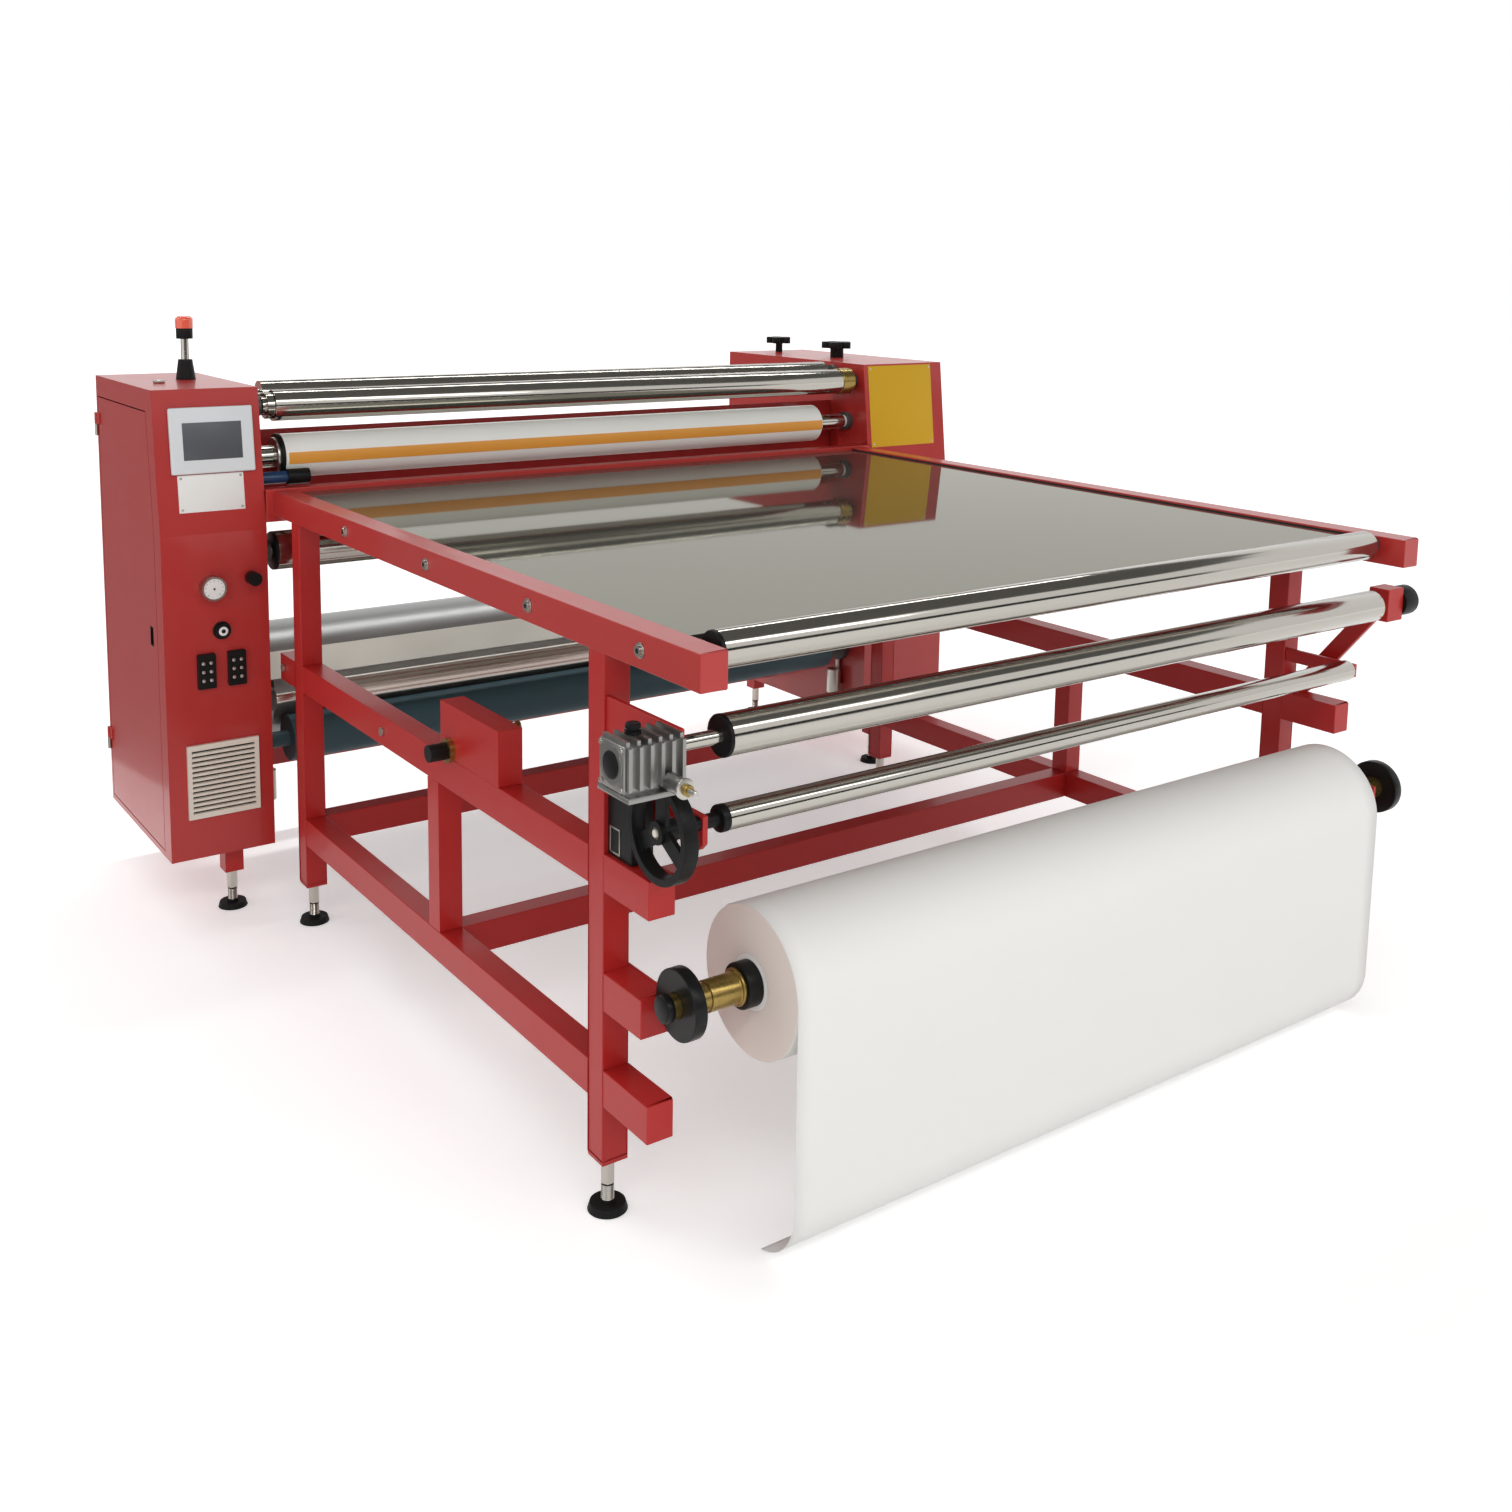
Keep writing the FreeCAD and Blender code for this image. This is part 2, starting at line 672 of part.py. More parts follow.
def front_sheet(x0, x1, holes):
    """Bent front sheet of a cabinet, with round holes given as (x, z, radius)."""
    outline = [
        (CAB_FRONT, CAB_BOTTOM),
        (CAB_FRONT + SHEET, CAB_BOTTOM),
        (CAB_FRONT + SHEET, SLANT_Z),
        (CAB_FRONT + SLANT_BACK + SHEET, CAB_TOP),
        (CAB_FRONT + SLANT_BACK, CAB_TOP),
        (CAB_FRONT, SLANT_Z),
    ]
    sheet = prism_x(outline, x0, x1)
    for x, z, radius in holes:
        sheet = sheet.cut(rod_y(CAB_FRONT - CUT, CAB_FRONT + SHEET + CUT, x, z, radius))
    return sheet


def closing_sheets(x0, x1, back):
    """Top, back and bottom sheets of a cabinet."""
    top_y = CAB_FRONT + SLANT_BACK + SHEET
    return [
        box(x0, x1, top_y, back, CAB_TOP - SHEET, CAB_TOP),
        box(x0, x1, back - SHEET, back, CAB_BOTTOM + SHEET, CAB_TOP - SHEET),
        box(x0, x1, CAB_FRONT + SHEET, back, CAB_BOTTOM, CAB_BOTTOM + SHEET),
    ]


def inside_outline(back):
    """Side outline of the space inside a cabinet's bent and closing sheets."""
    outline = cabinet_outline(CAB_FRONT + SHEET, back - SHEET, CAB_BOTTOM + SHEET, CAB_TOP - SHEET, 0)
    outline[3] = (CAB_FRONT + SLANT_BACK + SHEET, CAB_TOP - SHEET)
    return outline


def door_outline(inset):
    """Side outline of the door opening, or of the door itself with a larger inset."""
    front = CAB_FRONT + DOOR_FRONT_IN
    return cabinet_outline(front, LEFT_CAB_BACK, CAB_BOTTOM, CAB_TOP - DOOR_TOP_IN, inset)


def door_rim():
    """Five strips round the door opening, on the outer side of the left cabinet."""
    outer = inside_outline(LEFT_CAB_BACK)
    inner = door_outline(DOOR_RIM)
    strips = []
    for i in range(5):
        j = (i + 1) % 5
        strip = prism_x([outer[i], outer[j], inner[j], inner[i]], LEFT_CAB_X0, LEFT_CAB_X0 + DOOR_T)
        strips.append(strip)
    return strips


def cabinets():
    holes = (
        (LEFT_CAB_X1 - REGULATOR_IN, REGULATOR_Z, SPINDLE_R + RUN),
        (LEFT_CAB_X1 - BUTTON_IN, BUTTON_Z, BUTTON_R + RUN),
    )
    left = [front_sheet(LEFT_CAB_X0, LEFT_CAB_X1, holes)]
    left += closing_sheets(LEFT_CAB_X0, LEFT_CAB_X1, LEFT_CAB_BACK)
    left += door_rim()
    right = [front_sheet(RIGHT_CAB_X0, RIGHT_CAB_X1, ())]
    top, back, bottom = closing_sheets(RIGHT_CAB_X0, RIGHT_CAB_X1, RIGHT_CAB_BACK)
    for y in (KNOB_FRONT_Y, KNOB_REAR_Y):
        top = top.cut(rod_z(CAB_TOP - SHEET - CUT, CAB_TOP + CUT, KNOB_X, y, KNOB_STEM_R + RUN))
    right += [top, back, bottom]
    right.append(prism_x(inside_outline(RIGHT_CAB_BACK), RIGHT_CAB_X1 - SHEET, RIGHT_CAB_X1))
    return {"left_cabinet": group(left), "right_cabinet": group(right)}


# Cabinet door with its latch and hinges
def door():
    leaf = prism_x(door_outline(DOOR_RIM + DOOR_GAP), LEFT_CAB_X0, LEFT_CAB_X0 + DOOR_T)
    y0 = CAB_FRONT + LATCH_IN
    y1 = y0 + LATCH_W
    z1 = LATCH_Z + LATCH_L
    leaf = leaf.cut(box(LEFT_CAB_X0 - CUT, LEFT_CAB_X0 + DOOR_T + CUT, y0, y1, LATCH_Z, z1))
    tray = box(LEFT_CAB_X0, LEFT_CAB_X0 + LATCH_DEPTH, y0, y1, LATCH_Z, z1)
    floor_x = LEFT_CAB_X0 + LATCH_DEPTH - LATCH_T
    recess = box(LEFT_CAB_X0 - CUT, floor_x, y0 + LATCH_T, y1 - LATCH_T, LATCH_Z + LATCH_T, z1 - LATCH_T)
    latch = tray.cut(recess)
    moving = []
    fixed = []
    for z in (HINGE_LOW_Z, HINGE_HIGH_Z):
        mid = z + HINGE_L / 2
        top = z + HINGE_L
        leaf_edge = DOOR_AXIS_Y - HINGE_R - HINGE_LEAF
        knuckle = rod_z(mid + RUN, top, DOOR_AXIS_X, DOOR_AXIS_Y, HINGE_R)
        wing = box(DOOR_AXIS_X, LEFT_CAB_X0, leaf_edge, DOOR_AXIS_Y, mid + RUN, top)
        bore = rod_z(mid - CUT, top + CUT, DOOR_AXIS_X, DOOR_AXIS_Y, HINGE_PIN_R + RUN)
        moving.append(cut(fuse(knuckle, wing), bore))
        base = rod_z(z, mid, DOOR_AXIS_X, DOOR_AXIS_Y, HINGE_R)
        foot = box(DOOR_AXIS_X, LEFT_CAB_X0, DOOR_AXIS_Y, LEFT_CAB_BACK, z, mid)
        pin = rod_z(z, top, DOOR_AXIS_X, DOOR_AXIS_Y, HINGE_PIN_R)
        fixed.append(fuse(base, foot, pin))
    return {
        "cabinet_door": group([leaf] + moving),
        "door_latch": latch,
        "door_hinge_pins": group(fixed),
    }


def press_roller(inset, z, radius, gap, journal):
    """Roller between the side plates, with the same gap at both ends."""
    return roller(
        CAB_FRONT + inset, z, radius, LEFT_WALL + gap, RIGHT_WALL - gap, journal,
        LEFT_WALL + JOURNAL_GAP, RIGHT_WALL - JOURNAL_GAP,
    )


# Rollers of the press
def press_rollers():
    left = LEFT_WALL + JOURNAL_GAP
    right = RIGHT_WALL - JOURNAL_GAP
    x0 = LEFT_WALL + DRUM_GAP
    x1 = RIGHT_WALL - DRUM_GAP
    inner_r = DRUM_R - DRUM_WALL
    drum = fuse(
        ring_x(x0, x1, DRUM_Y, DRUM_Z, DRUM_R, inner_r),
        rod_x(x0, x0 + DRUM_END, DRUM_Y, DRUM_Z, inner_r),
        rod_x(x1 - DRUM_END, x1, DRUM_Y, DRUM_Z, inner_r),
        rod_x(left, x0 + DRUM_END, DRUM_Y, DRUM_Z, DRUM_JOURNAL),
        rod_x(x1 - DRUM_END, RIGHT_CAB_X0 + GEAR_UNIT_W, DRUM_Y, DRUM_Z, DRUM_JOURNAL),
    )
    heaters = []
    for i in range(HEATER_COUNT):
        angle = math.radians(90 + 360 * i / HEATER_COUNT)
        y = DRUM_Y + HEATER_ORBIT * math.cos(angle)
        z = DRUM_Z + HEATER_ORBIT * math.sin(angle)
        heaters.append(rod_x(x0 + DRUM_END, x1 - DRUM_END, y, z, HEATER_R))
    low_y = CAB_FRONT + APRON_LOW_IN
    top_y = CAB_FRONT + APRON_TOP_IN
    lean = math.atan2(APRON_TOP_Z - APRON_LOW_Z, top_y - low_y)
    off_y = APRON_T * math.sin(lean)
    off_z = APRON_T * math.cos(lean)
    apron = prism_x([
        (low_y, APRON_LOW_Z),
        (top_y, APRON_TOP_Z),
        (top_y - off_y, APRON_TOP_Z + off_z),
        (low_y - off_y, APRON_LOW_Z + off_z),
    ], LEFT_WALL, RIGHT_WALL)
    air_y = CAB_FRONT + AIR_SHAFT_IN
    air_x0 = LEFT_WALL + AIR_SHAFT_GAP
    air_x1 = RIGHT_WALL - AIR_SHAFT_RIGHT_GAP
    taper_x0 = air_x1 - AIR_SHAFT_TAPER
    air = roller(air_y, AIR_SHAFT_Z, AIR_SHAFT_R, air_x0, taper_x0, AIR_SHAFT_JOURNAL, left, right)
    air = fuse(air, cone_x(taper_x0, air_x1, air_y, AIR_SHAFT_Z, AIR_SHAFT_R, AIR_SHAFT_TIP_R))
    return {
        "heated_drum": drum,
        "drum_heaters": group(heaters),
        "top_roller_front": press_roller(
            TOP_FRONT_IN, TOP_FRONT_Z, TOP_FRONT_R, TOP_FRONT_GAP, TOP_FRONT_JOURNAL,
        ),
        "top_roller_rear": press_roller(
            TOP_REAR_IN, TOP_REAR_Z, TOP_REAR_R, TOP_REAR_GAP, TOP_REAR_JOURNAL,
        ),
        "air_shaft": air,
        "guide_roller": press_roller(GUIDE_IN, GUIDE_Z, GUIDE_R, GUIDE_GAP, GUIDE_JOURNAL),
        "under_roller": press_roller(UNDER_IN, UNDER_Z, UNDER_R, UNDER_GAP, UNDER_JOURNAL),
        "rubber_roller": press_roller(RUBBER_IN, RUBBER_Z, RUBBER_R, RUBBER_GAP, RUBBER_JOURNAL),
        "apron_plate": apron,
    }


# Drive of the drum, air line and control gear
def services():
    x0 = RIGHT_CAB_X0
    x1 = x0 + GEAR_UNIT_W
    half = GEAR_UNIT_D / 2
    unit = box(x0, x1, DRUM_Y - half, DRUM_Y + half, DRUM_Z - half, DRUM_Z + half)
    unit = unit.cut(rod_x(x0 - CUT, x1 + CUT, DRUM_Y, DRUM_Z, DRUM_JOURNAL + RUN))
    motor_x = x0 + GEAR_UNIT_W / 2 + DRIVE_MOTOR_OFFSET
    motor = rod_y(DRUM_Y + half, DRUM_Y + half + DRIVE_MOTOR_L, motor_x, DRUM_Z, DRIVE_MOTOR_R)
    air_y = CAB_FRONT + AIR_IN
    blue_x1 = LEFT_WALL + AIR_BLUE_L
    blue = rod_x(LEFT_WALL, blue_x1, air_y, AIR_Z, AIR_R)
    cap = rod_x(blue_x1, blue_x1 + AIR_CAP_L, air_y, AIR_Z, AIR_CAP_R)
    cylinders = []
    cyl_y = CAB_FRONT + RUBBER_IN
    rod_z1 = RUBBER_Z - RUBBER_BEARING
    cyl_z1 = rod_z1 - CYL_ROD_L
    cyl_z0 = cyl_z1 - CYL_L
    half_t = BEARING_T / 2
    for x, lug_x0, rod_x0 in (
        (LEFT_WALL + CYL_R, LEFT_WALL, LEFT_WALL + half_t),
        (RIGHT_WALL - CYL_R, RIGHT_WALL - CYL_R, RIGHT_WALL - half_t),
    ):
        body = rod_z(cyl_z0, cyl_z1, x, cyl_y, CYL_R)
        lug = box(lug_x0, lug_x0 + CYL_R, cyl_y - CYL_R, cyl_y + CYL_R, cyl_z0, cyl_z0 + CYL_LUG_H)
        cylinders.append(fuse(body, lug, rod_z(cyl_z1, rod_z1, rod_x0, cyl_y, CYL_ROD_R)))
    panel_x0 = LEFT_CAB_X1 - PANEL_T
    py0 = CAB_FRONT + PANEL_FRONT_GAP
    py1 = LEFT_CAB_BACK - PANEL_BACK_GAP
    pz0 = CAB_BOTTOM + PANEL_END_GAP
    pz1 = CAB_TOP - PANEL_END_GAP
    gear = [box(panel_x0, LEFT_CAB_X1, py0, py1, pz0, pz1)]
    pitch = (pz1 - pz0 - GEAR_ROW_H - 2 * GEAR_MARGIN) / (GEAR_ROWS - 1)
    mid = (py0 + py1) / 2
    for i in range(GEAR_ROWS):
        z0 = pz0 + GEAR_MARGIN + pitch * i
        for y0, y1, depth in (
            (py0 + GEAR_MARGIN, mid - GEAR_MARGIN / 2, GEAR_DEPTH),
            (mid + GEAR_MARGIN / 2, py1 - GEAR_MARGIN, GEAR_SHALLOW),
        ):
            gear.append(box(panel_x0 - depth, panel_x0, y0, y1, z0, z0 + GEAR_ROW_H))
    return {
        "drum_gear_unit": group([unit, motor]),
        "air_coupling": blue,
        "air_coupling_cap": cap,
        "pressure_cylinders": group(cylinders),
        "control_panel": group(gear),
    }


# Controls on the left cabinet and the signal lamp on top of it
def controls():
    bezel_x1 = LEFT_CAB_X1 - BEZEL_IN
    bezel_z0 = SLANT_Z + BEZEL_UP
    bezel = box(bezel_x1 - BEZEL_W, bezel_x1, CAB_FRONT - BEZEL_T, CAB_FRONT, bezel_z0, bezel_z0 + BEZEL_H)
    gauge_x = LEFT_CAB_X1 - GAUGE_IN
    dial_y = CAB_FRONT - GAUGE_L
    gauge = rod_y(dial_y, CAB_FRONT, gauge_x, GAUGE_Z, GAUGE_R)
    gauge = gauge.cut(rod_y(dial_y - CUT, dial_y + GAUGE_RECESS, gauge_x, GAUGE_Z, GAUGE_R - GAUGE_LIP))
    reg_x = LEFT_CAB_X1 - REGULATOR_IN
    knob_y1 = CAB_FRONT - RUN
    inside_y = CAB_FRONT + SHEET + RUN
    knob = fuse(
        rod_y(knob_y1 - REGULATOR_L, knob_y1, reg_x, REGULATOR_Z, REGULATOR_R),
        rod_y(knob_y1 - CUT, inside_y + SPINDLE_L, reg_x, REGULATOR_Z, SPINDLE_R),
        rod_y(inside_y, inside_y + SPINDLE_L, reg_x, REGULATOR_Z, SPINDLE_R * 2),
    )
    button_x = LEFT_CAB_X1 - BUTTON_IN
    head_y1 = CAB_FRONT - BUTTON_STROKE - RUN
    button = fuse(
        rod_y(head_y1 - BUTTON_L, head_y1, button_x, BUTTON_Z, BUTTON_HEAD_R),
        rod_y(head_y1 - CUT, inside_y + BUTTON_TAIL, button_x, BUTTON_Z, BUTTON_R),
        rod_y(inside_y, inside_y + BUTTON_STOP, button_x, BUTTON_Z, BUTTON_HEAD_R),
    )
    sockets = []
    for i in range(SOCKET_COUNT):
        x1 = LEFT_CAB_X1 - SOCKET_IN - SOCKET_PITCH * i
        socket_top = SOCKET_Z + SOCKET_H
        sockets.append(box(x1 - SOCKET_W, x1, CAB_FRONT - SOCKET_T, CAB_FRONT, SOCKET_Z, socket_top))
    gx1 = LEFT_CAB_X1 - GRILLE_IN
    gx0 = gx1 - GRILLE_W
    grille = box(gx0, gx1, CAB_FRONT - GRILLE_T, CAB_FRONT, GRILLE_Z, GRILLE_Z + GRILLE_H)
    pitch = (GRILLE_H - 2 * GRILLE_RIM) / GRILLE_SLATS
    slot_y0 = CAB_FRONT - GRILLE_T - CUT
    for i in range(GRILLE_SLATS):
        z = GRILLE_Z + GRILLE_RIM + pitch * (i + 0.25)
        slot = box(gx0 + GRILLE_RIM, gx1 - GRILLE_RIM, slot_y0, CAB_FRONT - GRILLE_BACK, z, z + pitch / 2)
        grille = grille.cut(slot)
    lamp_x = LEFT_CAB_X1 - BEACON_IN
    lamp_y = CAB_FRONT + BEACON_BACK
    z1 = CAB_TOP + BEACON_BASE_H
    z2 = z1 + BEACON_POLE_H
    z3 = z2 + BEACON_RING_H
    mount = fuse(
        cone_z(CAB_TOP, z1, lamp_x, lamp_y, BEACON_BASE_R, BEACON_NECK_R),
        rod_z(z1, z2, lamp_x, lamp_y, BEACON_POLE_R),
        rod_z(z2, z3, lamp_x, lamp_y, BEACON_RING_R),
    )
    lamp = rod_z(z3, z3 + BEACON_LAMP_H, lamp_x, lamp_y, BEACON_LAMP_R)
    lamp = lamp.makeFillet(BEACON_LAMP_ROUND, [lamp.Edges[0]])
    return {
        "screen_bezel": on_slant(bezel),
        "pressure_gauge": gauge,
        "regulator_knob": knob,
        "push_button": button,
        "socket_blocks": group(sockets),
        "vent_grille": grille,
        "beacon_mount": mount,
        "beacon_lamp": lamp,
    }


def pressure_knob(y, orbit, neck_r):
    """Star knob on a screw spindle through the top sheet of the right cabinet."""
    head_z = CAB_TOP + KNOB_RISE
    head_z1 = head_z + KNOB_HEAD_T
    low_z = CAB_TOP - KNOB_DEPTH
    head = rod_z(head_z, head_z1, KNOB_X, y, orbit)
    for i in range(KNOB_LOBES):
        angle = math.radians(360 * i / KNOB_LOBES)
        lobe_x = KNOB_X + orbit * math.cos(angle)
        lobe_y = y + orbit * math.sin(angle)
        head = head.fuse(rod_z(head_z, head_z1, lobe_x, lobe_y, KNOB_LOBE_R))
    return fuse(
        head,
        rod_z(low_z, head_z1, KNOB_X, y, KNOB_STEM_R),
        rod_z(CAB_TOP + RUN, head_z1, KNOB_X, y, neck_r),
        rod_z(low_z, CAB_TOP - SHEET - RUN, KNOB_X, y, KNOB_NUT_R),
    )


# Holders of the front rollers: plates on the left leg, a foot and a slanted arm on the right one
def roller_brackets():
    gear_x1 = BRACKET_X + BRACKET_T
    gear_z0 = FEED_ROLLER_Z - GEAR_BRACKET_H / 2
    gear_plate = box(BRACKET_X, gear_x1, FEED_Y - GEAR_BRACKET_PAST, 0, gear_z0, gear_z0 + GEAR_BRACKET_H)
    feed_bore = FEED_ROLLER_JOURNAL + RUN
    gear_plate = gear_plate.cut(rod_x(BRACKET_X - CUT, gear_x1 + CUT, FEED_Y, FEED_ROLLER_Z, feed_bore))
    tip_y = TENSION_Y - TENSION_PLATE_PAST
    low_z = TENSION_Z - TENSION_PLATE_DOWN
    top_z = TENSION_Z + TENSION_PLATE_UP
    plate_x0 = TUBE + TENSION_PLATE_OFF
    plate_x1 = plate_x0 + BRACKET_T
    bore = TENSION_JOURNAL + RUN
    plate = fuse(
        prism_x([
            (TUBE, low_z),
            (TUBE, top_z),
            (tip_y, top_z),
            (tip_y, low_z + TENSION_PLATE_CHAMFER),
            (tip_y + TENSION_PLATE_CHAMFER, low_z),
        ], plate_x0, plate_x1),
        box(TUBE, plate_x1, TUBE - TENSION_PLATE_FOOT, TUBE, low_z, top_z),
    )
    plate = plate.cut(rod_x(plate_x0 - CUT, plate_x1 + CUT, TENSION_Y, TENSION_Z, bore))
    end_x0 = RIGHT_X - TENSION_RIGHT_GAP + END_PLATE_GAP
    end_x1 = end_x0 + BRACKET_T
    end_z0 = TENSION_Z - END_PLATE_DOWN
    end_z1 = TENSION_Z + END_PLATE_UP
    end_plate = box(end_x0, end_x1, TENSION_Y - END_PLATE_PAST, 0, end_z0, end_z1)
    end_plate = end_plate.cut(rod_x(end_x0 - CUT, end_x1 + CUT, TENSION_Y, TENSION_Z, bore))
    run_y = FEED_Y - ARM_ROOT_Y
    run_z = FEED_ROLLER_Z - ARM_ROOT_Z
    length = math.hypot(run_y, run_z)
    side_y = -run_z / length * ARM_W / 2
    side_z = run_y / length * ARM_W / 2
    block_x1 = TABLE_W + ARM_T + ARM_BLOCK_L
    block_y0 = FEED_Y - ARM_BLOCK_D / 2
    block_z0 = FEED_ROLLER_Z - ARM_BLOCK_H / 2
    arm = fuse(
        prism_x([
            (ARM_ROOT_Y + side_y, ARM_ROOT_Z + side_z),
            (FEED_Y + side_y, FEED_ROLLER_Z + side_z),
            (FEED_Y - side_y, FEED_ROLLER_Z - side_z),
            (ARM_ROOT_Y - side_y, ARM_ROOT_Z - side_z),
        ], TABLE_W, TABLE_W + ARM_T),
        box(TABLE_W, block_x1, block_y0, block_y0 + ARM_BLOCK_D, block_z0, block_z0 + ARM_BLOCK_H),
    )
    arm = cut(
        arm,
        rod_x(TABLE_W - CUT, block_x1 - ARM_BLOCK_WALL, FEED_Y, FEED_ROLLER_Z, feed_bore),
        rod_x(block_x1 - ARM_BLOCK_WALL - CUT, block_x1 + CUT, FEED_Y, FEED_ROLLER_Z, LOCK_STEM_R + RUN),
    )
    screw_x0 = block_x1 - ARM_BLOCK_WALL - SHAFT_END_GAP / 2
    knob_x0 = block_x1 + RUN
    knob = fuse(
        rod_x(screw_x0, knob_x0 + CUT, FEED_Y, FEED_ROLLER_Z, LOCK_STEM_R),
        rod_x(knob_x0, knob_x0 + ARM_KNOB_L, FEED_Y, FEED_ROLLER_Z, ARM_KNOB_R),
    )
    return {"roller_brackets": group([gear_plate, plate, end_plate, arm]), "arm_knob": knob}


# Rollers at the front of the table, the feed gearbox, its motor box and the handwheel
def front_rollers():
    table_roller = roller(
        -TABLE_ROLLER_OUT, TABLE_ROLLER_Z, TABLE_ROLLER_R,
        TUBE + TABLE_ROLLER_GAP, RIGHT_X - TABLE_ROLLER_GAP,
        TABLE_ROLLER_JOURNAL, TUBE + JOURNAL_GAP, RIGHT_X - JOURNAL_GAP,
    )
    x1 = BRACKET_X
    x0 = x1 - GEARBOX_L
    y0 = FEED_Y - GEARBOX_D / 2
    y1 = y0 + GEARBOX_D
    z0 = FEED_ROLLER_Z - GEARBOX_DOWN
    z1 = FEED_ROLLER_Z + GEARBOX_UP
    cover_z = (z0 + z1) / 2
    gearbox = fuse(
        box(x0, x1, y0 + FIN_H, y1, z0, z1 - FIN_H),
        rod_x(x0 - GEARBOX_COVER_T, x0, FEED_Y, cover_z, GEARBOX_COVER_R),
    )
    pitch = (GEARBOX_L - FIN_T) / (FIN_COUNT - 1)
    for i in range(FIN_COUNT):
        fx = x0 + pitch * i
        gearbox = fuse(
            gearbox,
            box(fx, fx + FIN_T, y0, y0 + FIN_H, z0 + FIN_INSET, z1 - FIN_INSET),
            box(fx, fx + FIN_T, y0 + FIN_INSET, y1 - FIN_INSET, z1 - FIN_H, z1),
        )
    bore = FEED_ROLLER_JOURNAL + RUN
    gearbox = gearbox.cut(rod_x(x0 + GEARBOX_WALL, x1 + CUT, FEED_Y, FEED_ROLLER_Z, bore))
    motor = box(MOTOR_BOX_X, TUBE, -MOTOR_BOX_D, 0, MID_RAIL_TOP, MID_RAIL_TOP + MOTOR_BOX_H)
    shaft_end = TABLE_W + ARM_T + ARM_BLOCK_L - ARM_BLOCK_WALL - SHAFT_END_GAP
    feed_roller = roller(
        FEED_Y, FEED_ROLLER_Z, FEED_ROLLER_R, TUBE + FEED_ROLLER_GAP, TABLE_W - FEED_ROLLER_RIGHT_GAP,
        FEED_ROLLER_JOURNAL, x0 + SHAFT_END_GAP, shaft_end,
    )
    wheel_x1 = TUBE - WHEEL_GAP
    wheel_x0 = wheel_x1 - WHEEL_T
    wheel = fuse(
        ring_x(wheel_x0, wheel_x1, TENSION_Y, TENSION_Z, WHEEL_R, WHEEL_R - WHEEL_RIM),
        rod_x(wheel_x0, wheel_x1 + WHEEL_HUB_L, TENSION_Y, TENSION_Z, WHEEL_HUB_R),
    )
    half = SPOKE_W / 2
    spoke_top = TENSION_Z + WHEEL_R - WHEEL_RIM / 2
    for angle in (0, 120, 240):
        spoke = box(
            wheel_x0 + SPOKE_INSET, wheel_x1 - SPOKE_INSET,
            TENSION_Y - half, TENSION_Y + half, TENSION_Z, spoke_top,
        )
        spoke.rotate(FreeCAD.Vector(0, TENSION_Y, TENSION_Z), FreeCAD.Vector(1, 0, 0), angle)
        wheel = fuse(wheel, spoke)
    hub_x1 = wheel_x1 + WHEEL_HUB_L
    wheel = wheel.cut(rod_x(wheel_x0 - CUT, hub_x1 + CUT, TENSION_Y, TENSION_Z, TENSION_JOURNAL))
    tension_x1 = RIGHT_X - TENSION_RIGHT_GAP
    tension = roller(
        TENSION_Y, TENSION_Z, TENSION_R, TUBE + TENSION_GAP, tension_x1, TENSION_JOURNAL,
        wheel_x0, tension_x1 + END_PLATE_GAP + BRACKET_T,
    )
    return {
        "table_roller": table_roller,
        "feed_roller": feed_roller,
        "tension_roller": tension,
        "handwheel": wheel,
        "feed_gearbox": gearbox,
        "feed_motor": motor,
    }


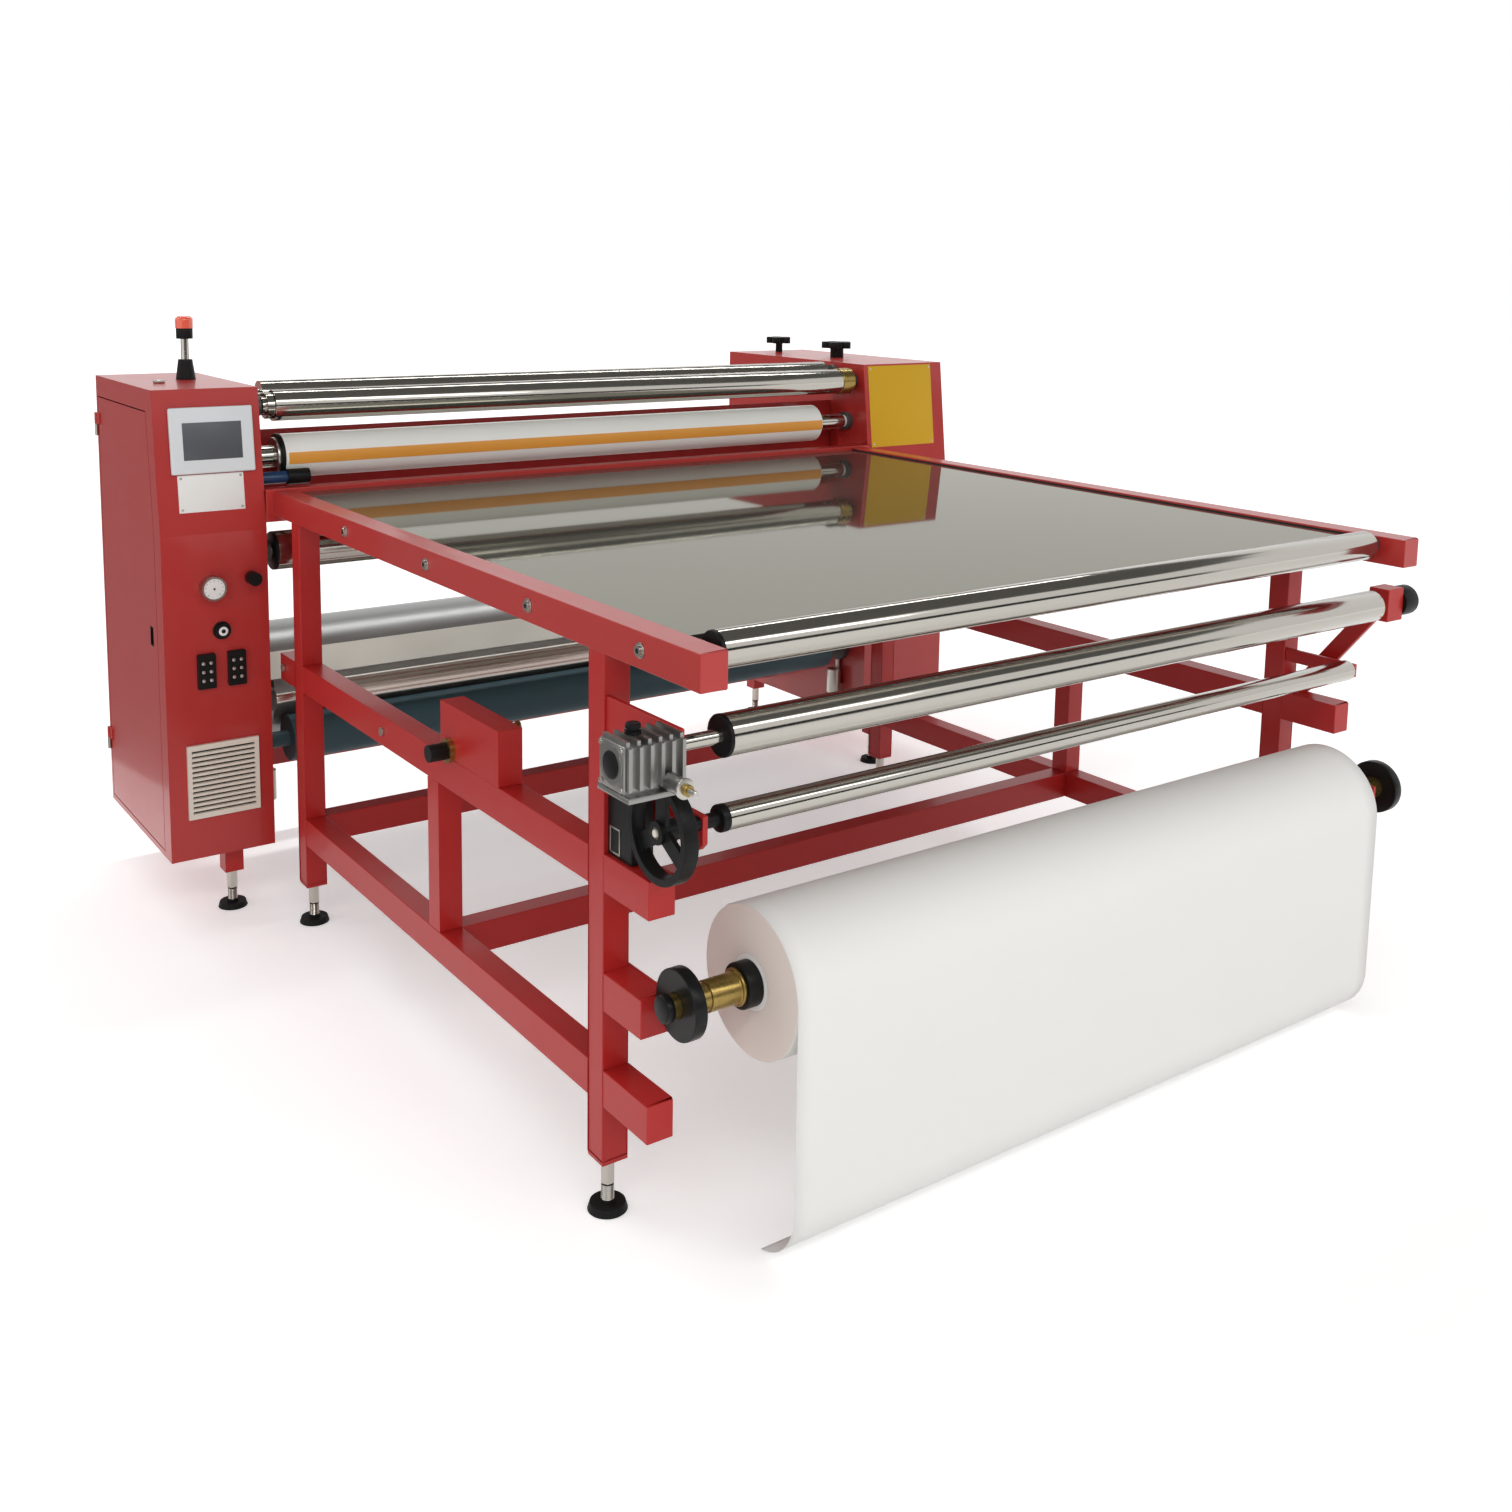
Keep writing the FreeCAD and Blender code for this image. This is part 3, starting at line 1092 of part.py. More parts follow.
# Paper roll with its shaft, held in two notched arms
def paper():
    roll = ring_x(ROLL_X0, ROLL_X1, ROLL_Y, ROLL_Z, ROLL_R, CORE_R)
    core = ring_x(ROLL_X0, ROLL_X1, ROLL_Y, ROLL_Z, CORE_R, CORE_BORE)
    left_x1 = TUBE - RUN
    left_x0 = left_x1 - DISC_T
    right_x0 = TABLE_W + ROLL_ARM_T + DISC_RIGHT_GAP
    right_x1 = right_x0 + DISC_T
    shaft = rod_x(left_x0 - TIP_L, right_x1, ROLL_Y, ROLL_Z, SHAFT_R)
    discs = [
        ring_x(left_x0, left_x1, ROLL_Y, ROLL_Z, DISC_R, SHAFT_R),
        ring_x(right_x0, right_x1, ROLL_Y, ROLL_Z, DISC_R, SHAFT_R),
        ring_x(left_x0 - TIP_L, left_x0 - TIP_L / 2, ROLL_Y, ROLL_Z, TIP_R, SHAFT_R),
    ]
    chucks = []
    collars = []
    for end, way in ((ROLL_X0, 1), (ROLL_X1, -1)):
        out = end - way * CHUCK_OUT
        chuck_x0, chuck_x1 = sorted((out, end + way * CHUCK_IN))
        chucks.append(ring_x(chuck_x0, chuck_x1, ROLL_Y, ROLL_Z, CORE_BORE, SHAFT_R))
        flange_x0, flange_x1 = sorted((out, out - way * FLANGE_L))
        collar_x0, collar_x1 = sorted((out, out - way * COLLAR_L))
        collar = fuse(
            rod_x(collar_x0, collar_x1, ROLL_Y, ROLL_Z, COLLAR_R),
            rod_x(flange_x0, flange_x1, ROLL_Y, ROLL_Z, FLANGE_R),
        )
        collars.append(collar.cut(rod_x(collar_x0 - CUT, collar_x1 + CUT, ROLL_Y, ROLL_Z, SHAFT_R)))
    arms = []
    top = ROLL_Z + SHAFT_R
    low = ROLL_Z - ROLL_ARM_DOWN
    front = ROLL_Y - ROLL_ARM_FRONT
    seat = SHAFT_R + NOTCH_CLEAR
    for x in (TUBE, TABLE_W):
        x1 = x + ROLL_ARM_T
        plate = prism_x([
            (TUBE, STUB_ARM_TOP - STUB_ARM_H),
            (TUBE, STUB_ARM_TOP),
            (-STUB_ARM_OVERHANG, STUB_ARM_TOP),
            (ROLL_Y + ROLL_ARM_BACK, top),
            (front, top),
            (front, low + ROLL_ARM_BACK / 2),
            (front + ROLL_ARM_BACK / 2, low),
            (-STUB_ARM_OVERHANG, STUB_ARM_TOP - STUB_ARM_H),
        ], x, x1)
        arms.append(cut(
            plate,
            rod_x(x - CUT, x1 + CUT, ROLL_Y, ROLL_Z, seat),
            box(x - CUT, x1 + CUT, ROLL_Y - seat, ROLL_Y + seat, ROLL_Z, top + CUT),
        ))
    return {
        "paper_roll": roll,
        "roll_core": core,
        "roll_shaft": shaft,
        "shaft_chucks": group(chucks),
        "shaft_collars": group(collars),
        "shaft_discs": group(discs),
        "roll_arms": group(arms),
        "paper_web": web(),
    }


def web():
    """Loose end of the paper: wraps the front of the roll, hangs and curls under."""
    inner = ROLL_R + WEB_CLEAR
    outer = inner + WEB_T
    near = []
    far = []
    for i in range(WRAP_STEPS + 1):
        angle = math.radians(180 - WEB_WRAP + WEB_WRAP * i / WRAP_STEPS)
        near.append((ROLL_Y + inner * math.cos(angle), ROLL_Z + inner * math.sin(angle)))
        far.append((ROLL_Y + outer * math.cos(angle), ROLL_Z + outer * math.sin(angle)))
    bend_y = ROLL_Y - inner + WEB_BEND_R
    large = WEB_BEND_R + WEB_T
    for i in range(CURVE_STEPS + 1):
        angle = math.radians(180 + WEB_BEND * i / CURVE_STEPS)
        near.append((bend_y + WEB_BEND_R * math.cos(angle), WEB_BEND_Z + WEB_BEND_R * math.sin(angle)))
        far.append((bend_y + large * math.cos(angle), WEB_BEND_Z + large * math.sin(angle)))
    return prism_x(near + far[::-1], ROLL_X0, ROLL_X1)


# Bolts on the rails
def bolts():
    heads = []
    rail_mid = (TOP_RAIL_TOP + TOP_RAIL_BOTTOM) / 2
    low_mid = (MID_RAIL_TOP + MID_RAIL_BOTTOM) / 2
    spots = [
        (MID_POST_Y + TUBE + MID_BOLT_FROM_POST, low_mid),
        (MID_RAIL_BACK - MID_BOLT_FROM_END, low_mid),
    ]
    spots.append((-RAIL_BOLT_FRONT, rail_mid))
    for i in range(RAIL_BOLT_COUNT - 1):
        spots.append((RAIL_BOLT_FIRST + RAIL_BOLT_PITCH * i - RAIL_BOLT_FRONT, rail_mid))
    for y, z in spots:
        heads.append(rod_x(-BOLT_HEAD, 0, y, z, BOLT_R))
        heads.append(rod_x(TABLE_W, TABLE_W + BOLT_HEAD, y, z, BOLT_R))
    return {"rail_bolts": group(heads)}


def main():
    nodes = {}
    for part in (
        table_frame(), clamp(), feet(), press_frame(), cabinets(), door(), press_rollers(), services(),
        controls(), roller_brackets(), front_rollers(), paper(), bolts(),
    ):
        nodes.update(part)
    nodes["pressure_knob_front"] = pressure_knob(KNOB_FRONT_Y, KNOB_FRONT_ORBIT, KNOB_FRONT_NECK_R)
    nodes["pressure_knob_rear"] = pressure_knob(KNOB_REAR_Y, KNOB_REAR_ORBIT, KNOB_REAR_NECK_R)
    os.makedirs("parts", exist_ok=True)
    for name, shape in nodes.items():
        shape.translate(FreeCAD.Vector(-ORIGIN_X, -ORIGIN_Y, 0))
        shape.exportStep(os.path.join("parts", name + ".step"))


main()
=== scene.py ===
# Looks of a roller heat press with a feed table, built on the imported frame.
import math

import bmesh
import bpy
from mathutils import Matrix, Vector


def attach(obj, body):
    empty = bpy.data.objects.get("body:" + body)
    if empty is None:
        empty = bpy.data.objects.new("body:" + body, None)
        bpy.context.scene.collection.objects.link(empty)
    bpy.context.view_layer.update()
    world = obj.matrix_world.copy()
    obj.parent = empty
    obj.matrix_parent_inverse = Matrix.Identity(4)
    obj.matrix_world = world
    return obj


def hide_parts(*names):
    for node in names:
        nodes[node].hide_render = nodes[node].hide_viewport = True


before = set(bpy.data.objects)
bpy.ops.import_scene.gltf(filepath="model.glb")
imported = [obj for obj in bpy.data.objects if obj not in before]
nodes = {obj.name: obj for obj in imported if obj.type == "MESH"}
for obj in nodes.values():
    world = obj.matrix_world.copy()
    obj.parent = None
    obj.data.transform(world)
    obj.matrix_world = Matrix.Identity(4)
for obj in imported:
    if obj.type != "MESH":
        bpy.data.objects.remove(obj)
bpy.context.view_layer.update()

# Middle of the object in build coordinates; the lengths of pieces are in millimetres
MID_X = 956.0
MID_Y = 1006.9

# Upper fronts of the cabinets: where the slant starts, how far it leans and how high it is
CAB_FRONT = 1560.0
SLANT_Z = 951.0
SLANT_LEAN = 40.0
SLANT_HEIGHT = 339.0
SLANT = math.atan2(SLANT_LEAN, SLANT_HEIGHT)

# Axes along x, as (y, z), and the bodies that move
TOP_ROLLER = (1650, 1238)
AIR_SHAFT = (1672, 1110)
UNDER_ROLLER = (1610, 886)
TABLE_ROLLER = (-199, 1020)
FEED_ROLLER = (-193, 880)
TENSION_ROLLER = (-160, 732)
PAPER_ROLL = (-178, 450)
TOP_BODY = "top_roller_front_body"
AIR_BODY = "air_shaft_body"
UNDER_BODY = "under_roller_body"
TABLE_BODY = "table_roller_body"
FEED_BODY = "feed_roller_body"
TENSION_BODY = "tension_roller_body"
ROLL_BODY = "paper_roll_body"
BUTTON_BODY = "push_button_body"


def at(x, y, z):
    return Vector(((x - MID_X) / 1000, (y - MID_Y) / 1000, z / 1000))


def on_slant(x, up, out):
    """Point on the slanted cabinet front: up along it, out from it."""
    y = CAB_FRONT + up * math.sin(SLANT) - out * math.cos(SLANT)
    z = SLANT_Z + up * math.cos(SLANT) + out * math.sin(SLANT)
    return at(x, y, z)


def lin(red, green, blue):
    """Linear colour from display values between 0 and 255."""
    out = []
    for value in (red, green, blue):
        c = value / 255
        out.append(c / 12.92 if c <= 0.04045 else ((c + 0.055) / 1.055) ** 2.4)
    return (out[0], out[1], out[2], 1.0)


def shade(color, factor):
    return tuple(min(1.0, c * factor) for c in color[:3]) + (1.0,)


# Materials
SHADER = "Principled BSDF"
MIX_A = 6
MIX_B = 7
MIX_COLOUR = 2
COAT_ROUGHNESS = 0.08
LEAST_ROUGHNESS = 0.02
SLOW_DETAIL = 4.0
FINE_DETAIL = 3.0
BUMP_DEPTH = 0.001


def link(tree, source, target):
    tree.links.new(source, target)


def noise_node(tree, scale, detail, stretch):
    coords = tree.nodes.new("ShaderNodeTexCoord")
    mapping = tree.nodes.new("ShaderNodeMapping")
    mapping.inputs["Scale"].default_value = stretch
    noise = tree.nodes.new("ShaderNodeTexNoise")
    noise.inputs["Scale"].default_value = scale
    noise.inputs["Detail"].default_value = detail
    link(tree, coords.outputs["Object"], mapping.inputs["Vector"])
    link(tree, mapping.outputs["Vector"], noise.inputs["Vector"])
    return noise


def surface(name, color, rough, metal=0.0, coat=0.0, spread=0.08, scale=5.0, rough_spread=0.06,
            bump=0.02, bump_scale=350.0, stretch=(1, 1, 1), shine=0.5):
    """Procedural finish: slow colour and roughness drift and a fine bump."""
    material = bpy.data.materials.new(name)
    material.use_nodes = True
    tree = material.node_tree
    shader = tree.nodes[SHADER]
    shader.inputs["Metallic"].default_value = metal
    shader.inputs["Coat Weight"].default_value = coat
    shader.inputs["Specular IOR Level"].default_value = shine
    shader.inputs["Coat Roughness"].default_value = COAT_ROUGHNESS
    slow = noise_node(tree, scale, SLOW_DETAIL, stretch)
    mix = tree.nodes.new("ShaderNodeMix")
    mix.data_type = "RGBA"
    mix.inputs[MIX_A].default_value = shade(color, 1 - spread)
    mix.inputs[MIX_B].default_value = shade(color, 1 + spread)
    link(tree, slow.outputs["Fac"], mix.inputs[0])
    link(tree, mix.outputs[MIX_COLOUR], shader.inputs["Base Color"])
    span = tree.nodes.new("ShaderNodeMapRange")
    span.inputs["To Min"].default_value = max(LEAST_ROUGHNESS, rough - rough_spread)
    span.inputs["To Max"].default_value = rough + rough_spread
    link(tree, slow.outputs["Fac"], span.inputs["Value"])
    link(tree, span.outputs["Result"], shader.inputs["Roughness"])
    fine = noise_node(tree, bump_scale, FINE_DETAIL, stretch)
    relief = tree.nodes.new("ShaderNodeBump")
    relief.inputs["Strength"].default_value = bump
    relief.inputs["Distance"].default_value = BUMP_DEPTH
    link(tree, fine.outputs["Fac"], relief.inputs["Height"])
    link(tree, relief.outputs["Normal"], shader.inputs["Normal"])
    return material


RED = surface("red_paint", lin(180, 44, 40), 0.36, coat=0.35, spread=0.05, bump=0.03,
              bump_scale=500, shine=0.4)
FRAME_RED = surface("red_frame_paint", lin(180, 36, 34), 0.38, coat=0.14, spread=0.05, bump=0.03,
                    bump_scale=500, shine=0.3)
CHROME = surface("chrome", lin(184, 180, 172), 0.13, metal=1.0, spread=0.02, scale=2,
                 rough_spread=0.01, bump=0.0)
SATIN = surface("satin_chrome", lin(222, 214, 204), 0.24, metal=1.0, spread=0.02)
ZINC = surface("zinc", lin(190, 188, 180), 0.3, metal=1.0)
PLATE = surface("table_plate", lin(154, 154, 147), 0.035, metal=0.85, spread=0.02, scale=2,
                rough_spread=0.01, bump=0.0)
PLATE_SHADER = PLATE.node_tree.nodes[SHADER]
PLATE_SHADER.inputs["Specular Tint"].default_value = lin(206, 204, 196)
DRUM = surface("drum_steel", lin(158, 159, 158), 0.34, metal=0.75, stretch=(1, 12, 12))
APRON = surface("apron_steel", lin(222, 222, 212), 0.3, metal=0.6)
IRON = surface("bearing_iron", lin(92, 88, 86), 0.5, metal=0.6, bump=0.1)
ALUMINIUM = surface("gear_aluminium", lin(152, 151, 148), 0.34, metal=0.9, spread=0.16, bump=0.06,
                    bump_scale=250)
BLACK = surface("black_plastic", lin(20, 20, 20), 0.42, bump=0.05, bump_scale=700, shine=0.18)
BLACK_PAINT = surface("black_paint", lin(22, 22, 22), 0.34, shine=0.2)
PALE = surface("pale_sleeve", lin(238, 238, 232), 0.5, spread=0.03)
ORANGE = surface("orange_strip", lin(230, 156, 58), 0.4)
TEAL = surface("teal_rubber", lin(66, 94, 102), 0.5, bump=0.05, shine=0.3)
PAD = surface("pad_rubber", lin(20, 20, 20), 0.6, bump=0.08, shine=0.2)
BRASS = surface("brass", lin(156, 132, 74), 0.28, metal=0.9, spread=0.16, scale=60)
PAPER = surface("paper", lin(242, 241, 238), 0.62, spread=0.012, scale=3, bump=0.02,
                bump_scale=900, shine=0.25)
BOARD = surface("core_board", lin(246, 244, 240), 0.8, bump=0.1)
BEZEL = surface("bezel_plastic", lin(222, 226, 228), 0.4, spread=0.02)
CREAM = surface("cream_plastic", lin(232, 224, 210), 0.45, spread=0.03)
BLUE = surface("blue_plastic", lin(18, 54, 92), 0.34, coat=0.1)
LAMP = surface("lamp_plastic", lin(244, 104, 76), 0.22, coat=0.6)
GREY = surface("grey_plastic", lin(150, 150, 152), 0.5)
SCREEN = surface("screen_glass", lin(88, 91, 95), 0.3, spread=0.03, shine=0.3)
WHITE = surface("white_print", lin(236, 236, 232), 0.45, spread=0.02)
YELLOW = surface("yellow_plate", lin(214, 168, 34), 0.5, spread=0.03, shine=0.2)
# Dark finish of the table plate's seal and the gauge's marks and boss; also painted shade in the grille
# gaps, bolt sockets and nut gaps
DARK = surface("dark_seal_and_painted_shade", lin(34, 34, 32), 0.6, shine=0.2)

# Wound layers on the ends of the paper roll
RING_SCALE = 260
RING_DISTORTION = 1.5
END_FACING = 0.5


def paper_ends():
    """Paper whose end faces show the wound layers as fine rings round the roll's axis."""
    material = PAPER.copy()
    material.name = "paper_roll_ends"
    tree = material.node_tree
    shader = tree.nodes[SHADER]
    coords = tree.nodes.new("ShaderNodeTexCoord")
    centre = tree.nodes.new("ShaderNodeMapping")
    centre.inputs["Location"].default_value = -at(MID_X, *PAPER_ROLL)
    rings = tree.nodes.new("ShaderNodeTexWave")
    rings.wave_type = "RINGS"
    rings.rings_direction = "X"
    rings.inputs["Scale"].default_value = RING_SCALE
    rings.inputs["Distortion"].default_value = RING_DISTORTION
    link(tree, coords.outputs["Object"], centre.inputs["Vector"])
    link(tree, centre.outputs["Vector"], rings.inputs["Vector"])
    layers = tree.nodes.new("ShaderNodeMix")
    layers.data_type = "RGBA"
    layers.inputs[MIX_A].default_value = lin(226, 214, 206)
    layers.inputs[MIX_B].default_value = lin(238, 228, 220)
    link(tree, rings.outputs["Fac"], layers.inputs[0])
    geometry = tree.nodes.new("ShaderNodeNewGeometry")
    split = tree.nodes.new("ShaderNodeSeparateXYZ")
    size = tree.nodes.new("ShaderNodeMath")
    size.operation = "ABSOLUTE"
    facing = tree.nodes.new("ShaderNodeMath")
    facing.operation = "GREATER_THAN"
    facing.inputs[1].default_value = END_FACING
    link(tree, geometry.outputs["Normal"], split.inputs["Vector"])
    link(tree, split.outputs["X"], size.inputs[0])
    link(tree, size.outputs["Value"], facing.inputs[0])
    both = tree.nodes.new("ShaderNodeMix")
    both.data_type = "RGBA"
    old = shader.inputs["Base Color"].links[0].from_socket
    link(tree, facing.outputs["Value"], both.inputs[0])
    link(tree, old, both.inputs[MIX_A])
    link(tree, layers.outputs[MIX_COLOUR], both.inputs[MIX_B])
    link(tree, both.outputs[MIX_COLOUR], shader.inputs["Base Color"])
    return material


ROLL_PAPER = paper_ends()

finishes = {
    RED: ["top_rails", "side_plates", "cross_ties", "left_cabinet", "right_cabinet", "cabinet_door"],
    FRAME_RED: ["table_legs", "side_rails", "cross_beams", "clamp_block", "cabinet_stub_legs",
                "roller_brackets", "roll_arms"],
    CHROME: ["top_roller_front", "top_roller_rear", "under_roller", "table_roller", "feed_roller",
             "tension_roller", "foot_stems", "roll_shaft", "pressure_gauge"],
    SATIN: ["guide_roller"],
    ZINC: ["rail_bolts", "door_hinge_pins", "pressure_cylinders"],
    PLATE: ["table_plate"],
    DRUM: ["heated_drum", "drum_heaters"],
    APRON: ["apron_plate"],
    IRON: ["roller_bearings"],
    ALUMINIUM: ["feed_gearbox"],
    BLACK: ["clamp_knob", "door_latch", "air_coupling_cap", "regulator_knob", "push_button",
            "socket_blocks", "beacon_mount", "pressure_knob_front", "pressure_knob_rear", "arm_knob",
            "handwheel"],
    BLACK_PAINT: ["feed_motor", "drum_gear_unit", "shaft_chucks", "shaft_discs"],
    PALE: ["air_shaft"],
    TEAL: ["rubber_roller"],
    PAD: ["foot_pads"],
    BRASS: ["clamp_collars", "shaft_collars"],
    ROLL_PAPER: ["paper_roll"],
    PAPER: ["paper_web"],
    BOARD: ["roll_core"],
    BEZEL: ["screen_bezel"],
    CREAM: ["vent_grille"],
    BLUE: ["air_coupling"],
    LAMP: ["beacon_lamp"],
    GREY: ["control_panel"],
}

# Rounded edges of the solids: widths in millimetres, the weld's reach in metres
WELD_REACH = 0.00001
BEVEL_STEPS = 3
BEVEL_FROM = math.radians(40)
SHARP_FROM = math.radians(35)
BEVELS = {
    "table_legs": 1.5, "side_rails": 2, "top_rails": 3, "cross_beams": 2, "clamp_block": 1,
    "cabinet_stub_legs": 2, "cross_ties": 3, "roller_brackets": 2, "roll_arms": 2, "paper_roll": 1.5,
    "shaft_discs": 4, "shaft_chucks": 2, "shaft_collars": 2, "handwheel": 4, "feed_motor": 3,
    "feed_gearbox": 1.5, "table_roller": 2, "feed_roller": 2, "tension_roller": 2,
    "top_roller_front": 2, "top_roller_rear": 2, "air_shaft": 2, "screen_bezel": 4,
    "socket_blocks": 2, "pressure_gauge": 2, "regulator_knob": 2.5, "push_button": 2,
    "pressure_knob_front": 6, "pressure_knob_rear": 6, "arm_knob": 3, "clamp_knob": 3,
    "beacon_mount": 2, "foot_pads": 3, "rail_bolts": 1.5, "table_plate": 1, "guide_roller": 2,
    "under_roller": 2, "rubber_roller": 3, "air_coupling": 2, "air_coupling_cap": 3,
}
for material, names in finishes.items():
    for name in names:
        mesh = nodes[name].data
        mesh.materials.clear()
        mesh.materials.append(material)
for name, width in BEVELS.items():
    weld = nodes[name].modifiers.new("weld", "WELD")
    weld.merge_threshold = WELD_REACH
    bevel = nodes[name].modifiers.new("bevel", "BEVEL")
    bevel.width = width / 1000
    bevel.segments = BEVEL_STEPS
    bevel.limit_method = "ANGLE"
    bevel.angle_limit = BEVEL_FROM
    bevel.harden_normals = True


# Pieces
def finish_piece(name, bm, material, body):
    bmesh.ops.recalc_face_normals(bm, faces=bm.faces)
    mesh = bpy.data.meshes.new(name)
    bm.to_mesh(mesh)
    bm.free()
    mesh.materials.append(material)
    piece = bpy.data.objects.new(name, mesh)
    bpy.context.scene.collection.objects.link(piece)
    for polygon in mesh.polygons:
        polygon.use_smooth = True
    mesh.set_sharp_from_angle(angle=SHARP_FROM)
    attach(piece, body)
    return piece


SLAB_FACES = ((0, 1, 2, 3), (7, 6, 5, 4), (0, 4, 5, 1), (1, 5, 6, 2), (2, 6, 7, 3), (3, 7, 4, 0))


def slab(name, corners, material, body="machine", bevel=0.6):
    """Rounded block from eight corners: four of one face, then four of the other."""
    bm = bmesh.new()
    verts = [bm.verts.new(corner) for corner in corners]
    for face in SLAB_FACES:
        bm.faces.new([verts[i] for i in face])
    edges = list(bm.edges)
    bmesh.ops.bevel(bm, geom=edges, offset=bevel / 1000, segments=2, profile=0.5, affect="EDGES")
    return finish_piece(name, bm, material, body)


def block(name, x0, x1, y0, y1, z0, z1, material, body="machine", bevel=0.6):
    low = [at(x0, y0, z0), at(x1, y0, z0), at(x1, y1, z0), at(x0, y1, z0)]
    high = [at(x0, y0, z1), at(x1, y0, z1), at(x1, y1, z1), at(x0, y1, z1)]
    return slab(name, low + high, material, body, bevel)


def slant_plate(name, x0, x1, s0, s1, t0, t1, material, bevel=0.4):
    """Plate on a slanted front, from s0 to s1 up along it and from t0 to t1 out from it."""
    near = [on_slant(x0, s0, t0), on_slant(x1, s0, t0), on_slant(x1, s1, t0), on_slant(x0, s1, t0)]
    far = [on_slant(x0, s0, t1), on_slant(x1, s0, t1), on_slant(x1, s1, t1), on_slant(x0, s1, t1)]
    return slab(name, near + far, material, "machine", bevel)


AXES = {
    "x": (Vector((1, 0, 0)), Vector((0, 1, 0)), Vector((0, 0, 1))),
    "y": (Vector((0, 1, 0)), Vector((0, 0, 1)), Vector((1, 0, 0))),
    "z": (Vector((0, 0, 1)), Vector((1, 0, 0)), Vector((0, 1, 0))),
}


def lathe(name, axis, origin, profile, material, body="machine", sides=48):
    """Turned piece: profile holds (distance along the axis, radius) in millimetres."""
    along, across, up = AXES[axis]
    bm = bmesh.new()
    rows = []
    for distance, radius in profile:
        row = []
        for i in range(sides):
            angle = 2 * math.pi * i / sides
            offset = across * math.cos(angle) + up * math.sin(angle)
            row.append(bm.verts.new(origin + along * (distance / 1000) + offset * (radius / 1000)))
        rows.append(row)
    for row, following in zip(rows, rows[1:]):
        for i in range(sides):
            j = (i + 1) % sides
            bm.faces.new((row[i], row[j], following[j], following[i]))
    bm.faces.new(rows[0][::-1])
    bm.faces.new(rows[-1])
    return finish_piece(name, bm, material, body)


def rounded(length, radius, edge):
    """Profile of a short cylinder with rounded edges."""
    half = edge * 0.3
    return [(0, radius - edge), (half, radius - half), (edge, radius), (length - edge, radius),
            (length - half, radius - half), (length, radius - edge)]


# Operator screen and plates on the slanted fronts
slant_plate("screen_panel", -207, -69, 174, 262, 11.4, 12.5, SCREEN)
slant_plate("under_plate", -222, -68, 52, 140, -0.2, 1.2, WHITE)
slant_plate("yellow_plate", 1886, 2144, 84, 336, -0.2, 1.2, YELLOW)
RIVET = [(0, 2), (0.5, 3.2), (2.2, 3.6)]


def plate_rivets(name, x0, x1, s0, s1):
    """Four round rivets near the corners of a plate on a slanted front."""
    for i, (x, up) in enumerate(((x0, s0), (x1, s0), (x0, s1), (x1, s1))):
        lathe(f"{name}_{i}", "y", on_slant(x, up, 2.4), RIVET, ZINC, sides=16)


plate_rivets("under_plate_rivet", -215, -75, 59, 133)
plate_rivets("yellow_plate_rivet", 1895, 2135, 93, 327)

# Gauge, push button and sockets on the upright front; angles in degrees
GAUGE = at(-157, 1533.5, 822)
DIAL = [(0, 24.6), (0.8, 24.8), (1.4, 24.8)]
MARKS = 11
FIRST_MARK = 225
MARK_STEP = 27
MARK_OUTER = 22
LONG_MARK = 5
SHORT_MARK = 3
MARK_HALF = 0.4
lathe("gauge_dial", "y", GAUGE, DIAL, WHITE)
for i in range(MARKS):
    angle = math.radians(FIRST_MARK - MARK_STEP * i)
    inner = MARK_OUTER - (LONG_MARK if i % 5 == 0 else SHORT_MARK)
    mark = Vector((math.cos(angle), 0, math.sin(angle)))
    side = Vector((-math.sin(angle), 0, math.cos(angle)))
    ring = []
    outline = ((inner, -MARK_HALF), (MARK_OUTER, -MARK_HALF),
               (MARK_OUTER, MARK_HALF), (inner, MARK_HALF))
    for depth in (-0.3, 0.2):
        for reach, half in outline:
            spot = GAUGE + mark * (reach / 1000) + side * (half / 1000)
            ring.append(spot + Vector((0, depth / 1000, 0)))
    slab(f"gauge_mark_{i}", ring, DARK, "machine", 0.05)
lathe("gauge_boss", "y", GAUGE + Vector((0, -0.0016, 0)), rounded(2, 2.6, 0.5), DARK, sides=20)
BUTTON_X = -135
BUTTON_Z = 715
BUTTON_RING = [(0, 19.5), (0.6, 21), (5.2, 21.5), (5.2, 19.6), (0, 18.6)]
BUTTON_MARK = [(0, 10), (0.4, 11), (0.9, 11)]
BUTTON_DOT = [(0, 4.4), (0.4, 5), (0.8, 5)]
lathe("button_ring", "y", at(BUTTON_X, 1554.6, BUTTON_Z), BUTTON_RING, BLACK)
lathe("button_mark", "y", at(BUTTON_X, 1545.0, BUTTON_Z), BUTTON_MARK, WHITE, BUTTON_BODY)
lathe("button_dot", "y", at(BUTTON_X, 1544.5, BUTTON_Z), BUTTON_DOT, BLACK, BUTTON_BODY)
PIN = rounded(3, 4.2, 0.8)
PIN_INSET = 12
PIN_PITCH_X = 18
PIN_PITCH_Z = 21
for i, x0 in enumerate((-196, -124)):
    for row in range(3):
        for column in range(2):
            spot = at(x0 + PIN_INSET + PIN_PITCH_X * column, 1545.6, 600 + PIN_PITCH_Z * row)
            lathe(f"socket_pin_{i}{row}{column}", "y", spot, PIN, ZINC, sides=20)

# Painted shade: dark strips in the gaps between the slats of the vent grille, where the shade behind
# them falls
GRILLE_Z = 262
GRILLE_HEIGHT = 181
GRILLE_RIM = 10
SLATS = 13
SLAT_PITCH = (GRILLE_HEIGHT - 2 * GRILLE_RIM) / SLATS
for i in range(SLATS):
    z = GRILLE_Z + GRILLE_RIM + SLAT_PITCH * (i + 0.25)
    top = z + SLAT_PITCH / 2 - 1.4
    block(f"grille_gap_shade_{i}", -216.5, -66.5, 1557, 1558.2, z + 1, top, DARK, bevel=0.2)

